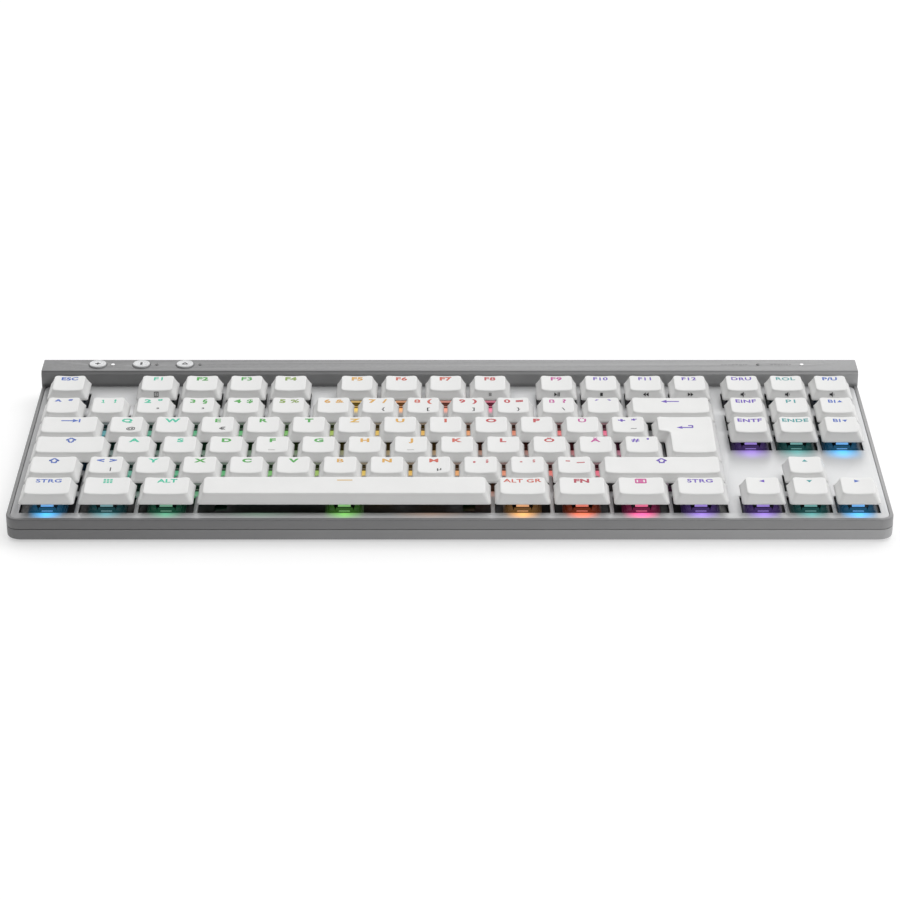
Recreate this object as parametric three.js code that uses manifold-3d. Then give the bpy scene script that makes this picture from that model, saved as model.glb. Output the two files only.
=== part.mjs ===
// Compact tenkeyless mechanical keyboard, ISO layout, 88 keys.
// Units: millimetres, +Z up, +X to the typist's right, +Y away from the typist.
// Origin: centre of the footprint, at the bottom faces of the rubber pads.
import * as THREE from "three";
import { mergeVertices } from "three/addons/utils/BufferGeometryUtils.js";
import Module from "manifold-3d";

const wasm = await Module();
wasm.setup();

// ---- driving dimensions -------------------------------------------------
const U = 19.05;              // key pitch
const HALF_W = 177.5;         // half of the overall width
const HALF_D = 70.6;          // half of the overall depth
const CORNER_R = 5.5;         // plan radius of the two front corners of the case
const CORNER_REAR = 1.8;      // plan radius of the two rear corners
const PAD_H = 0.8;            // pad height below the case floor
const SEAM_LOW = 5.45;        // top of the lower case
const SEAM_HIGH = 5.65;       // underside of the upper frame
const DECK_Z = 10.0;          // top of the frame rim
const WALL = 1.6;             // rim and bar wall
const BAR_Y = 57.1;           // front wall of the rear bar
const BAR_Z = 16.8;           // top of the rear bar
const BAR_CHAMFER = 1.2;      // its long edges
const GAP = 0.3;              // clearance between neighbouring pieces

const KEY_X0 = -173.2;        // left edge of the key block
const ROW_Y = [-56.6, -37.55, -18.5, 0.55, 19.6, 41.9]; // bottom row to function row
const CAP_FOOT = 17.55;       // footprint of a 1u cap
const CAP_TOP_W = 12.95;      // its top face, width
const CAP_TOP_D = 13.2;       // its top face, depth
const CAP_Z0 = 14.0;          // skirt edge at rest
const CAP_ZB = 18.9;          // rear edge of the top face
const CAP_ZF = 18.2;          // front edge of the top face
const CAP_DISH = 0.4;         // depth of the cylindrical dish
const CAP_WALL = 1.2;
const CAP_CEIL = 17.2;        // inner ceiling of a cap
const STEM_W = 6.6, STEM_D = 5.2, STEM_Z = 10.3; // slider on its cap
const WELL = 1.7;             // deck bar left between two wells
const WELL_D = 14.8;          // depth of a well
const PLATE_Z0 = 7.0, PLATE_Z1 = 8.2;            // switch plate
const HOUSING_Z1 = 13.4;       // top of a switch housing
const WIRE_R = 0.6, WIRE_Y = 6.6, WIRE_Z = 10.1, WIRE_ARM = 7.1; // stabiliser wire
const WIRE_TILT = 0.2267;     // arm slope at rest, radians
const BUTTON_R = 3.8, BUTTON_Y = 64.2, BUTTON_X = [-153.6, -134.6, -115.6];
const LIGHT_LEFT = [-147.0, -127.9, -109.0], LIGHT_RIGHT = [134.4, 153.6];
const PORT_X = -150, PORT_Z = 9.6, PORT_W = 8.94, PORT_H = 3.26;
const SLIDER_X = -138.6;
const FOOT_X = 140, FOOT_W = 24, FOOT_LEN = 12.6, FOOT_PY = 64.6, FOOT_PZ = 2.6, FOOT_T = 3.0;

// ---- solids --------------------------------------------------------------
function solid(geometry) {
  const g = geometry.clone();
  g.deleteAttribute("normal");
  g.deleteAttribute("uv");
  const m = mergeVertices(g, 1e-4);
  return new wasm.Manifold(new wasm.Mesh({
    numProp: 3,
    vertProperties: new Float32Array(m.attributes.position.array),
    triVerts: new Uint32Array(m.index.array),
  }));
}
function toGeometry(man) {
  const m = man.getMesh();
  const g = new THREE.BufferGeometry();
  g.setAttribute("position", new THREE.BufferAttribute(new Float32Array(m.vertProperties), 3));
  g.setIndex(new THREE.BufferAttribute(new Uint32Array(m.triVerts), 1));
  g.computeVertexNormals();
  return g;
}
const box = (x0, x1, y0, y1, z0, z1) => {
  const g = new THREE.BoxGeometry(x1 - x0, y1 - y0, z1 - z0);
  g.translate((x0 + x1) / 2, (y0 + y1) / 2, (z0 + z1) / 2);
  return solid(g);
};
// cylinder along z
const post = (x, y, r, z0, z1, n = 16) => {
  const g = new THREE.CylinderGeometry(r, r, z1 - z0, n);
  g.rotateX(Math.PI / 2);
  g.translate(x, y, (z0 + z1) / 2);
  return solid(g);
};
// cylinder between two points
const rod = (a, b, r, n = 8) => {
  const p = new THREE.Vector3(...a), q = new THREE.Vector3(...b);
  const g = new THREE.CylinderGeometry(r, r, p.distanceTo(q), n);
  g.applyQuaternion(new THREE.Quaternion().setFromUnitVectors(
    new THREE.Vector3(0, 1, 0), q.clone().sub(p).normalize()));
  g.translate((p.x + q.x) / 2, (p.y + q.y) / 2, (p.z + q.z) / 2);
  return solid(g);
};
function roundRect(x0, x1, y0, y1, r, seg = 5, q = r) {
  // r: radius of the two front corners, q: radius of the two rear corners
  const s = new THREE.Shape();
  const c = [[x1 - r, y0 + r, -90, r], [x1 - q, y1 - q, 0, q], [x0 + q, y1 - q, 90, q], [x0 + r, y0 + r, 180, r]];
  let first = true;
  for (const [cx, cy, a0, r] of c) for (let i = 0; i <= seg; i++) {
    const a = (a0 + 90 * i / seg) * Math.PI / 180;
    const px = cx + r * Math.cos(a), py = cy + r * Math.sin(a);
    if (first) { s.moveTo(px, py); first = false; } else s.lineTo(px, py);
  }
  s.closePath();
  return s;
}
function prism(shape, z0, z1, steps = 1) {
  const g = new THREE.ExtrudeGeometry(shape, { depth: z1 - z0, bevelEnabled: false, steps });
  g.translate(0, 0, z0);
  return solid(g);
}
// a profile in the y-z plane drawn along x
function alongX(points, x0, x1) {
  const s = new THREE.Shape(points.map(([y, z]) => new THREE.Vector2(y, z)));
  const g = new THREE.ExtrudeGeometry(s, { depth: x1 - x0, bevelEnabled: false });
  const m = new THREE.Matrix4().set(0, 0, 1, x0, 1, 0, 0, 0, 0, 1, 0, 0, 0, 0, 0, 1);
  g.applyMatrix4(m);
  return solid(g);
}
// a block that tapers from its base to its top face; the top may slope and be dished
function taper(w0, d0, w1, d1, z0, zf, zb, dish = 0, nx = 1) {
  const g = new THREE.BoxGeometry(1, 1, 1, nx, 1, 1);
  const p = g.attributes.position;
  for (let i = 0; i < p.count; i++) {
    const x = p.getX(i), y = p.getY(i), top = p.getZ(i) > 0;
    p.setXYZ(i, x * (top ? w1 : w0), y * (top ? d1 : d0),
      top ? zf + (y + 0.5) * (zb - zf) - dish * (1 - 4 * x * x) : z0);
  }
  return solid(g);
}

// ---- key layout ------------------------------------------------------------
const NAV = (k) => 15.184 + k;
const key = (row, x0, w) => ({ row, x0, w, cx: KEY_X0 + (x0 + w / 2) * U, cy: ROW_Y[row] });
const run = (row, x0, n) => Array.from({ length: n }, (_, i) => key(row, x0 + i, 1));
const SINGLE = {
  key_escape: key(5, 0, 1), key_tab: key(3, 0, 1.5), key_caps_lock: key(2, 0, 1.75),
  key_shift_left: key(1, 0, 1.25), key_ctrl_left: key(0, 0, 1.25), key_system: key(0, 1.25, 1.25),
  key_alt_left: key(0, 2.5, 1.25), key_space: key(0, 3.75, 6.25), key_alt_right: key(0, 10, 1.25),
  key_function: key(0, 11.25, 1.25), key_menu: key(0, 12.5, 1.25), key_ctrl_right: key(0, 13.75, 1.25),
  key_backspace: key(4, 13, 2), key_shift_right: key(1, 12.25, 2.75),
  key_arrow_up: key(1, NAV(1), 1), key_arrow_left: key(0, NAV(0), 1),
  key_arrow_down: key(0, NAV(1), 1), key_arrow_right: key(0, NAV(2), 1),
  key_insert: key(4, NAV(0), 1), key_home: key(4, NAV(1), 1), key_page_up: key(4, NAV(2), 1),
  key_delete: key(3, NAV(0), 1), key_end: key(3, NAV(1), 1), key_page_down: key(3, NAV(2), 1),
};
const BANKS = {
  key_bank_f1_f4: run(5, 2, 4), key_bank_f5_f8: run(5, 6.5, 4), key_bank_f9_f12: run(5, 11, 4),
  key_bank_print_pause: run(5, NAV(0), 3), key_bank_numbers: run(4, 0, 13),
  key_bank_upper_letters: run(3, 1.5, 12), key_bank_home_letters: run(2, 1.75, 12),
  key_bank_lower_letters: run(1, 1.25, 11),
};
const ENTER = { x0: 13.75, cx: KEY_X0 + 14.375 * U, cy: (ROW_Y[2] + ROW_Y[3]) / 2, w: 1.25 };
const ALL = [...Object.values(SINGLE), ...Object.values(BANKS).flat()];
// keys with a stabiliser: stem offset from the key's centre
const STAB = { key_space: 50, key_backspace: 11.9, key_shift_right: 11.9 };

// ---- keycaps ----------------------------------------------------------------
const foot = (u) => u * U - (U - CAP_FOOT);
const top = (u) => u * U - (U - CAP_TOP_W);
// outer form of a cap, u wide and v deep, centred on the origin
const capOuter = (u, v = 1, nx = 2) => {
  const d0 = foot(v), d1 = d0 - (CAP_FOOT - CAP_TOP_D);
  return taper(foot(u), d0, top(u), d1, CAP_Z0, CAP_ZF, CAP_ZB, u > 4 ? 0 : CAP_DISH, u > 4 ? 1 : nx);
};
const capCavity = (u, v = 1) => {
  const k = 2 * CAP_WALL, d0 = foot(v), d1 = d0 - (CAP_FOOT - CAP_TOP_D);
  const t = (CAP_CEIL - CAP_Z0) / (CAP_ZF - CAP_Z0);
  const w0 = foot(u) - k, w1 = w0 + (top(u) - foot(u)) * t;
  const e0 = d0 - k, e1 = e0 + (d1 - d0) * t;
  return taper(w0, e0, w1, e1, CAP_Z0, CAP_CEIL, CAP_CEIL)
    .add(box(-w0 / 2, w0 / 2, -e0 / 2, e0 / 2, CAP_Z0 - 1, CAP_Z0 + 1e-3));
};
const stem = () => box(-STEM_W / 2, STEM_W / 2, -STEM_D / 2, STEM_D / 2, STEM_Z, CAP_CEIL + GAP);
const stabStem = (x, y) => box(x - 2, x + 2, y - 2.4, y + 1.6, 12.8, CAP_CEIL + GAP);
const cap1 = capOuter(1).subtract(capCavity(1)).add(stem());

const group = new THREE.Group();
const paint = {
  cap: [0xe9e9e7, 0.55, 0], frame: [0x9b9c9d, 0.42, 0.2], lower: [0x8f9091, 0.5, 0.1],
  deck: [0xc9cbcc, 0.38, 0.5], black: [0x17181a, 0.45, 0], green: [0x1d4a33, 0.5, 0],
  foam: [0x2b2c2e, 0.9, 0], rubber: [0x1b1b1c, 0.85, 0], steel: [0xb8babd, 0.3, 1],
  silver: [0xdcdddd, 0.35, 0.2], clear: [0xeef3f5, 0.2, 0], cell: [0x3b6fa8, 0.4, 0.1],
};
function add(name, man, colour, pos = [0, 0, 0]) {
  const [c, roughness, metalness] = paint[colour];
  const mesh = new THREE.Mesh(toGeometry(man),
    new THREE.MeshStandardMaterial({ color: c, roughness, metalness }));
  mesh.name = name;
  mesh.position.set(...pos);
  group.add(mesh);
  return mesh;
}

for (const [name, k] of Object.entries(SINGLE)) {
  let c = k.w === 1 ? cap1 : capOuter(k.w).subtract(capCavity(k.w)).add(stem());
  if (STAB[name]) for (const s of [-1, 1]) c = c.add(stabStem(s * STAB[name], 0));
  add(name, c, "cap", [k.cx, k.cy, 0]);
}
// the ISO enter key: a tall part over both rows and a wider head in the upper row
{
  // L-shaped outline, corner by corner, with the way each corner leans inwards
  const r = foot(1.25) / 2, l = -0.125 * U - foot(1.5) / 2, y1 = foot(2) / 2, y0 = U / 2 - CAP_FOOT / 2;
  const outline = [[-r, -y1, 1, 1], [r, -y1, -1, 1], [r, y1, -1, -1], [l, y1, 1, -1], [l, y0, 1, 1], [-r, y0, 1, 1]];
  const ell = (inset, z0, z1, lean) => {
    const s = new THREE.Shape(outline.map(([x, y, i, j]) => new THREE.Vector2(x + i * inset, y + j * inset)));
    const g = new THREE.ExtrudeGeometry(s, { depth: 1, bevelEnabled: false });
    const p = g.attributes.position, n = p.count;
    for (let i = 0; i < n; i++) {
      const hi = p.getZ(i) > 0.5;
      let x = p.getX(i), y = p.getY(i);
      if (hi) {
        const o = outline.reduce((a, b) => Math.hypot(a[0] + a[2] * inset - x, a[1] + a[3] * inset - y)
          < Math.hypot(b[0] + b[2] * inset - x, b[1] + b[3] * inset - y) ? a : b);
        x += o[2] * (CAP_FOOT - CAP_TOP_W) / 2 * lean; y += o[3] * (CAP_FOOT - CAP_TOP_D) / 2 * lean;
      }
      p.setXYZ(i, x, y, hi ? (z1 === CAP_ZB ? CAP_ZF + (y + y1) / (2 * y1) * (CAP_ZB - CAP_ZF) : z1) : z0);
    }
    return solid(g);
  };
  const t = (CAP_CEIL - CAP_Z0) / (CAP_ZF - CAP_Z0);
  let c = ell(0, CAP_Z0, CAP_ZB, 1).subtract(ell(CAP_WALL, CAP_Z0, CAP_CEIL, t))
    .subtract(ell(CAP_WALL, CAP_Z0 - 1, CAP_Z0 + 1e-3, 0)).add(stem());
  for (const s of [-1, 1]) {
    c = c.add(box(-2.4, 1.6, s * 11.9 - 2, s * 11.9 + 2, 12.8, CAP_CEIL + GAP));
  }
  add("key_enter", c, "cap", [ENTER.cx, ENTER.cy, 0]);
}
// banks: neighbouring caps joined by small links between their skirts
for (const [name, keys] of Object.entries(BANKS)) {
  const x0 = keys[0].cx;
  let c = cap1;
  for (let i = 1; i < keys.length; i++) {
    const x = keys[i].cx - x0;
    c = c.add(cap1.translate([x, 0, 0]));
    c = c.add(box(x - U / 2 - 1.1, x - U / 2 + 1.1, -1.2, 1.2, CAP_Z0 + 0.15, CAP_Z0 + 1.0));
  }
  add(name, c, "cap", [x0, keys[0].cy, 0]);
}

// ---- stabiliser wires ---------------------------------------------------------
// bar along x, arms reaching forward and up to the stems
function wire(half) {
  const y = WIRE_Y, z = WIRE_Z;
  const ey = y - WIRE_ARM * Math.cos(WIRE_TILT), ez = z + WIRE_ARM * Math.sin(WIRE_TILT);
  return rod([-half - 0.3, y, z], [half + 0.3, y, z], WIRE_R)
    .add(rod([-half, y, z], [-half, ey, ez], WIRE_R * 0.98))
    .add(rod([half, y, z], [half, ey, ez], WIRE_R * 0.98));
}
for (const [name, half] of Object.entries(STAB)) {
  const k = SINGLE[name];
  add(name.replace("key_", "stabiliser_"), wire(half), "steel", [k.cx, k.cy, 0]);
}
{
  const m = add("stabiliser_enter", wire(11.9), "steel", [ENTER.cx, ENTER.cy, 0]);
  m.rotation.z = -Math.PI / 2; // bar along y at the right, arms towards -x
}

// ---- deck plate with one well per key --------------------------------------------
{
  const s = roundRect(-HALF_W + WALL + GAP, HALF_W - WALL - GAP, -HALF_D + WALL + GAP, BAR_Y - GAP, 3.6, 4);
  let deck = prism(s, 8.8, DECK_Z - 0.2);
  const hole = (cx, cy, w, d) => {
    deck = deck.subtract(box(cx - w / 2, cx + w / 2, cy - d / 2, cy + d / 2, 0, 20));
  };
  for (const k of ALL) hole(k.cx, k.cy, k.w * U - WELL, WELL_D);
  hole(ENTER.cx, ENTER.cy, 1.25 * U - WELL, WELL_D + U);
  add("deck_plate", deck, "deck");
}

// ---- switch plate with its housings ---------------------------------------------------
{
  const plate = roundRect(-172.4, 172.4, -67.2, 54.6, 3, 3);
  let bank = prism(plate, PLATE_Z0, PLATE_Z1);
  const slot = (cx, cy, w, d) => {
    bank = bank.subtract(box(cx - w / 2, cx + w / 2, cy - d / 2, cy + d / 2, 0, 20));
  };
  for (const [name, half] of Object.entries(STAB)) for (const s of [-1, 1]) {
    slot(SINGLE[name].cx + s * half, SINGLE[name].cy + 2.6, 5, 11);
  }
  for (const s of [-1, 1]) slot(ENTER.cx + 2.6, ENTER.cy + s * 11.9, 11, 5);
  const body = taper(13.0, 10.6, 9.8, 9.4, PLATE_Z1 - 0.2, HOUSING_Z1, HOUSING_Z1);
  const pocket = box(-STEM_W / 2 - GAP, STEM_W / 2 + GAP, -STEM_D / 2 - GAP, STEM_D / 2 + GAP, STEM_Z - 3.5, 20);
  for (const k of [...ALL, ENTER]) {
    bank = bank.add(body.translate([k.cx, k.cy, 0])).subtract(pocket.translate([k.cx, k.cy, 0]));
  }
  add("switch_bank", bank, "black");
}

// ---- circuit board and damping sheet -------------------------------------------------------
add("main_pcb", prism(roundRect(-171, 171, -66.4, 49.6, 2, 2), 3.6, 5.2), "green");
add("damping_pad", prism(roundRect(-171.5, 171.5, -66.8, 49.6, 2, 2), 2.4, 3.4), "foam");

// ---- lower case -----------------------------------------------------------------------------------
{
  const g = new THREE.ExtrudeGeometry(roundRect(-HALF_W, HALF_W, -HALF_D, HALF_D, CORNER_R, 6, CORNER_REAR),
    { depth: 1, bevelEnabled: false, steps: 3 });
  const level = [[PAD_H, 0.55], [PAD_H + 0.35, 0.15], [PAD_H + 1.4, 0.05], [SEAM_LOW, 0]];
  const p = g.attributes.position;
  for (let i = 0; i < p.count; i++) {
    const [z, inset] = level[Math.round(p.getZ(i) * 3)];
    p.setXYZ(i, p.getX(i) * (HALF_W - inset) / HALF_W, p.getY(i) * (HALF_D - inset) / HALF_D, z);
  }
  let c = solid(g).subtract(prism(roundRect(-HALF_W + 2.2, HALF_W - 2.2, -HALF_D + 2.2, HALF_D - 2.2, 3.4, 3), 2.2, 7));
  for (const s of [-1, 1]) {
    const x = s * FOOT_X, w = FOOT_W / 2;
    // walled pocket that takes a folded foot
    c = c.add(box(x - w - 3.2, x + w + 3.2, FOOT_PY - FOOT_LEN - 1.9, HALF_D - 2, 1.5, 5.3));
    c = c.subtract(box(x - w - 0.6, x + w + 0.6, FOOT_PY - FOOT_LEN - 0.7, FOOT_PY + 2.0, 0, 4.4));
    c = c.subtract(rod([x - w - 2.4, FOOT_PY, FOOT_PZ], [x + w + 2.4, FOOT_PY, FOOT_PZ], 1.2, 10));
    // finger notch in front of the foot
    c = c.subtract(box(x - 6, x + 6, FOOT_PY - FOOT_LEN - 1.5, FOOT_PY - FOOT_LEN, 0, 1.9));
  }
  for (const [x, y, w, d] of [[-150, -60, 34, 8], [150, -60, 34, 8], [-104, 60, 26, 8], [104, 60, 26, 8]]) {
    c = c.subtract(box(x - w / 2 - GAP, x + w / 2 + GAP, y - d / 2 - GAP, y + d / 2 + GAP, 0, 1.5));
  }
  add("bottom_case", c, "lower");
  const pad = (name, x, y, w, d) => {
    const m = prism(roundRect(-w / 2, w / 2, -d / 2, d / 2, 3.6, 4), 0, 1.3);
    add(name, m, "rubber", [x, y, 0]);
  };
  pad("pad_front_left", -150, -60, 34, 8);
  pad("pad_front_right", 150, -60, 34, 8);
  pad("pad_rear_left", -104, 60, 26, 8);
  pad("pad_rear_right", 104, 60, 26, 8);
}

// ---- tilt feet -----------------------------------------------------------------------------------------
for (const [name, s] of [["tilt_foot_left", -1], ["tilt_foot_right", 1]]) {
  const r = FOOT_T / 2, pts = [];
  for (let i = 0; i <= 6; i++) { // round nose at the pivot
    const a = -Math.PI / 2 + Math.PI * i / 6;
    pts.push([FOOT_PY + r * Math.cos(a), FOOT_PZ + r * Math.sin(a)]);
  }
  const tip = FOOT_PY - FOOT_LEN;
  pts.push([tip + 0.8, FOOT_PZ + r], [tip, FOOT_PZ + r - 0.8], [tip, FOOT_PZ - r + 0.6], [tip + 0.6, FOOT_PZ - r]);
  const w = FOOT_W / 2;
  let f = alongX(pts, -w, w);
  f = f.subtract(box(-w + 4, w - 4, tip + 3.5, FOOT_PY - 3.4, FOOT_PZ + 0.3, 10)); // lightening pocket
  f = f.add(rod([-w - 1.9, FOOT_PY, FOOT_PZ], [w + 1.9, FOOT_PY, FOOT_PZ], 0.9, 10));
  add(name, f, "lower", [s * FOOT_X, 0, 0]);
}

// ---- upper frame: front and side rails with an inner ledge -----------------------------------------------------
{
  const outer = prism(roundRect(-HALF_W, HALF_W, -HALF_D, HALF_D, CORNER_R, 6, CORNER_REAR), SEAM_HIGH, DECK_Z)
    .subtract(box(-200, 200, BAR_Y - GAP, 200, 0, 20));
  const ledge = prism(roundRect(-173, 173, -68, 90, 2.5, 3), 0, 20);
  const rim = prism(roundRect(-HALF_W + WALL, HALF_W - WALL, -HALF_D + WALL, 90, CORNER_R - WALL, 4), 8.5, 20);
  const c0 = outer.subtract(ledge).subtract(rim);
  const chamfer = 0.35; // fine break on the outer top edge
  const keep = (() => {
    const g = new THREE.ExtrudeGeometry(roundRect(-HALF_W, HALF_W, -HALF_D, HALF_D, CORNER_R, 6, CORNER_REAR),
      { depth: 1, bevelEnabled: false, steps: 2 });
    const lv = [[SEAM_HIGH - 1, 0], [DECK_Z - chamfer, 0], [DECK_Z + 0.001, chamfer]];
    const p = g.attributes.position;
    for (let i = 0; i < p.count; i++) {
      const [z, e] = lv[Math.round(p.getZ(i) * 2)];
      p.setXYZ(i, p.getX(i) * (HALF_W - e) / HALF_W, p.getY(i) * (HALF_D - e) / HALF_D, z);
    }
    return solid(g);
  })();
  add("upper_frame", c0.intersect(keep), "frame");
}

// ---- rear bar: raised cover over the electronics ------------------------------------------------------------------
{
  const y0 = BAR_Y, y1 = HALF_D, z1 = BAR_Z, c = BAR_CHAMFER;
  const profile = [[y0, SEAM_HIGH], [y1, SEAM_HIGH], [y1, z1 - c], [y1 - c, z1], [y0 + c, z1], [y0, z1 - c]];
  const plan = prism(roundRect(-HALF_W, HALF_W, -HALF_D, HALF_D, CORNER_R, 6, CORNER_REAR), 0, 30);
  let bar = alongX(profile, -HALF_W, HALF_W).intersect(plan);
  bar = bar.subtract(prism(roundRect(-HALF_W + 2, HALF_W - 2, y0 + WALL, y1 - 1.8, 2.5, 3), 0, z1 - WALL));
  bar = bar.subtract(box(-172, 172, y1 - 2.4, 200, 0, z1 - WALL)); // window for the rear panels
  for (const x of BUTTON_X) bar = bar.subtract(post(x, BUTTON_Y, BUTTON_R + GAP, 10, 30, 24));
  for (const x of [...LIGHT_LEFT, ...LIGHT_RIGHT]) bar = bar.subtract(post(x, BUTTON_Y, 0.75 + 0.15, 10, 30, 12));
  add("rear_bar", bar, "frame");
}

// ---- rear panels, socket, power slider -------------------------------------------------------------------------------
{
  const y0 = HALF_D - 1.8, y1 = HALF_D, z0 = SEAM_HIGH + 0.1, z1 = BAR_Z - WALL - GAP;
  const xs = -130.8;
  add("rear_panel", box(xs + 0.15, 171.7, y0, y1, z0, z1), "frame");
  const slot = (cx, cz, w, h) => {
    const g = new THREE.ExtrudeGeometry(roundRect(-w / 2, w / 2, -h / 2, h / 2, h / 2 - 0.01, 4),
      { depth: 8, bevelEnabled: false });
    g.rotateX(Math.PI / 2);
    g.translate(cx, y1 + 4, cz);
    return solid(g);
  };
  const io = box(-171.7, xs - 0.15, y0, y1, z0, z1)
    .subtract(slot(PORT_X, PORT_Z, PORT_W + 0.8, PORT_H + 0.8))
    .subtract(slot(SLIDER_X, PORT_Z, 7.4, 3.2));
  add("io_panel", io, "lower");
  // socket shell with its contact tongue, mouth at the rear face
  const shell = (w, h, d0, d1, r) => {
    const g = new THREE.ExtrudeGeometry(roundRect(-w / 2, w / 2, -h / 2, h / 2, r, 4),
      { depth: d1 - d0, bevelEnabled: false });
    g.rotateX(Math.PI / 2);
    g.translate(0, d1, 0);
    return solid(g);
  };
  const tongue = box(-3.35, 3.35, 64.2, 69.9, -0.35, 0.35);
  const sock = shell(PORT_W, PORT_H, 63.4, 70.5, 1.4).subtract(shell(8.34, 2.66, 64.6, 72, 1.25)).add(tongue);
  add("usb_c_receptacle", sock, "steel", [PORT_X, 0, PORT_Z]);
  const sl = box(-1.8, 1.8, 67.6, 70.4, -1.2, 1.2).add(box(-3.6, 3.6, 66.6, 68.3, -2.4, 2.4));
  add("power_slider", sl, "black", [SLIDER_X - 1.1, 0, PORT_Z]);
}

// ---- battery in the rear bar --------------------------------------------------------------------------------------------
{
  const s = roundRect(59.6, 67.6, 6.6, 14.2, 2.4, 4);
  const g = new THREE.ExtrudeGeometry(s, { depth: 92, bevelEnabled: false });
  g.applyMatrix4(new THREE.Matrix4().set(0, 0, 1, -46, 1, 0, 0, 0, 0, 1, 0, 0, 0, 0, 0, 1));
  add("battery", solid(g), "cell");
}

// ---- three round mode buttons and the light guides -------------------------------------------------------------------------
BUTTON_X.forEach((x, i) => {
  const prof = [[0, 13.4], [4.3, 13.4], [4.3, 14.6], [BUTTON_R, 14.6], [BUTTON_R, 17.2], [BUTTON_R - 0.4, 17.55],
    [1.9, 17.4], [0, 17.3]].map(([r, z]) => new THREE.Vector2(r, z));
  const g = new THREE.LatheGeometry(prof, 24);
  g.rotateX(Math.PI / 2);
  add(`mode_button_${i + 1}`, solid(g), "silver", [x, BUTTON_Y, 0]);
});
for (const [name, xs] of [["light_guide_left", LIGHT_LEFT], ["light_guide_right", LIGHT_RIGHT]]) {
  let m = box(Math.min(...xs) - 2, Math.max(...xs) + 2, 59.0, 60.2, 11.0, 12.6);
  for (const x of xs) {
    m = m.add(box(x - 0.7, x + 0.7, 60, BUTTON_Y, 11.4, 12.6)).add(post(x, BUTTON_Y, 0.75, 11.4, BAR_Z + 0.15, 12));
  }
  add(name, m, "clear");
}

export default group;
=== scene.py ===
import math
import random

import bmesh
import bpy
from mathutils import Matrix, Vector


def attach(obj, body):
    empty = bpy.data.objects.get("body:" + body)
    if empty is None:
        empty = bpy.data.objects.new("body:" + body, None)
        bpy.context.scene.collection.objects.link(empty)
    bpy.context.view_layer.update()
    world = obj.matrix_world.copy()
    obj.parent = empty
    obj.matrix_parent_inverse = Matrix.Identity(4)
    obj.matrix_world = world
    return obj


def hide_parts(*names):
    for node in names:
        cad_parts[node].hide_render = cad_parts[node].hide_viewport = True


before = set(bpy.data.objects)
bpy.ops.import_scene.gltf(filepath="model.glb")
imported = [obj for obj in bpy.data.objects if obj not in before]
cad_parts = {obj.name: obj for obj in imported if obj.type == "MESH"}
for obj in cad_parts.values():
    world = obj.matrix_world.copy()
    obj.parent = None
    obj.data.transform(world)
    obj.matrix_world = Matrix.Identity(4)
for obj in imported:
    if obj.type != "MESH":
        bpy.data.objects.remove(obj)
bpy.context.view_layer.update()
MM = 0.001

# ---------------------------------------------------------------- dimensions (mm)
U = 19.05
KEY_X0 = -173.2
ROW_Y = [-56.6, -37.55, -18.5, 0.55, 19.6, 41.9]
CAP_FOOT, CAP_TOP_W, CAP_TOP_D = 17.55, 12.95, 13.2
CAP_Z0, CAP_ZB, CAP_ZF, CAP_CEIL, CAP_WALL = 14.0, 18.9, 18.2, 17.2, 1.2
DISH = 0.42
PLATE_TOP = 8.2
BUTTON_X, BUTTON_Y = [-153.6, -134.6, -115.6], 64.2
LED_LEFT, LED_RIGHT = [-147.0, -127.9, -109.0], [134.4, 153.6]
BAR_Z = 16.8

scene = bpy.context.scene

# ---------------------------------------------------------------- camera
cam_data = bpy.data.cameras.new("camera")
cam = bpy.data.objects.new("camera", cam_data)
scene.collection.objects.link(cam)
cam_data.sensor_width = 36.0
cam_data.lens = 36.0 * 3090.6 / 900.0
cam_data.clip_start, cam_data.clip_end = 0.05, 20.0
cam.location = (0.0001, -1.1657, 0.5728)
cam.rotation_euler = (math.pi / 2 - 0.45218, 0.0, 0.0)
scene.camera = cam


# ---------------------------------------------------------------- small helpers
def srgb(r, g, b, a=1.0):
    f = lambda c: (c / 255 / 12.92) if c / 255 <= 0.04045 else ((c / 255 + 0.055) / 1.055) ** 2.4
    return (f(r), f(g), f(b), a)


def link(obj):
    scene.collection.objects.link(obj)
    return obj


def smooth(mesh, angle=None):
    for p in mesh.polygons:
        p.use_smooth = True
    if angle is not None:
        mesh.set_sharp_from_angle(angle=math.radians(angle))


def mesh_from(name, verts, faces, mat=None, angle=None):
    me = bpy.data.meshes.new(name)
    me.from_pydata([(x * MM, y * MM, z * MM) for x, y, z in verts], [], faces)
    bm = bmesh.new()
    bm.from_mesh(me)
    bmesh.ops.recalc_face_normals(bm, faces=bm.faces)
    bm.to_mesh(me)
    bm.free()
    smooth(me, angle)
    if mat:
        me.materials.append(mat)
    return me


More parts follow.
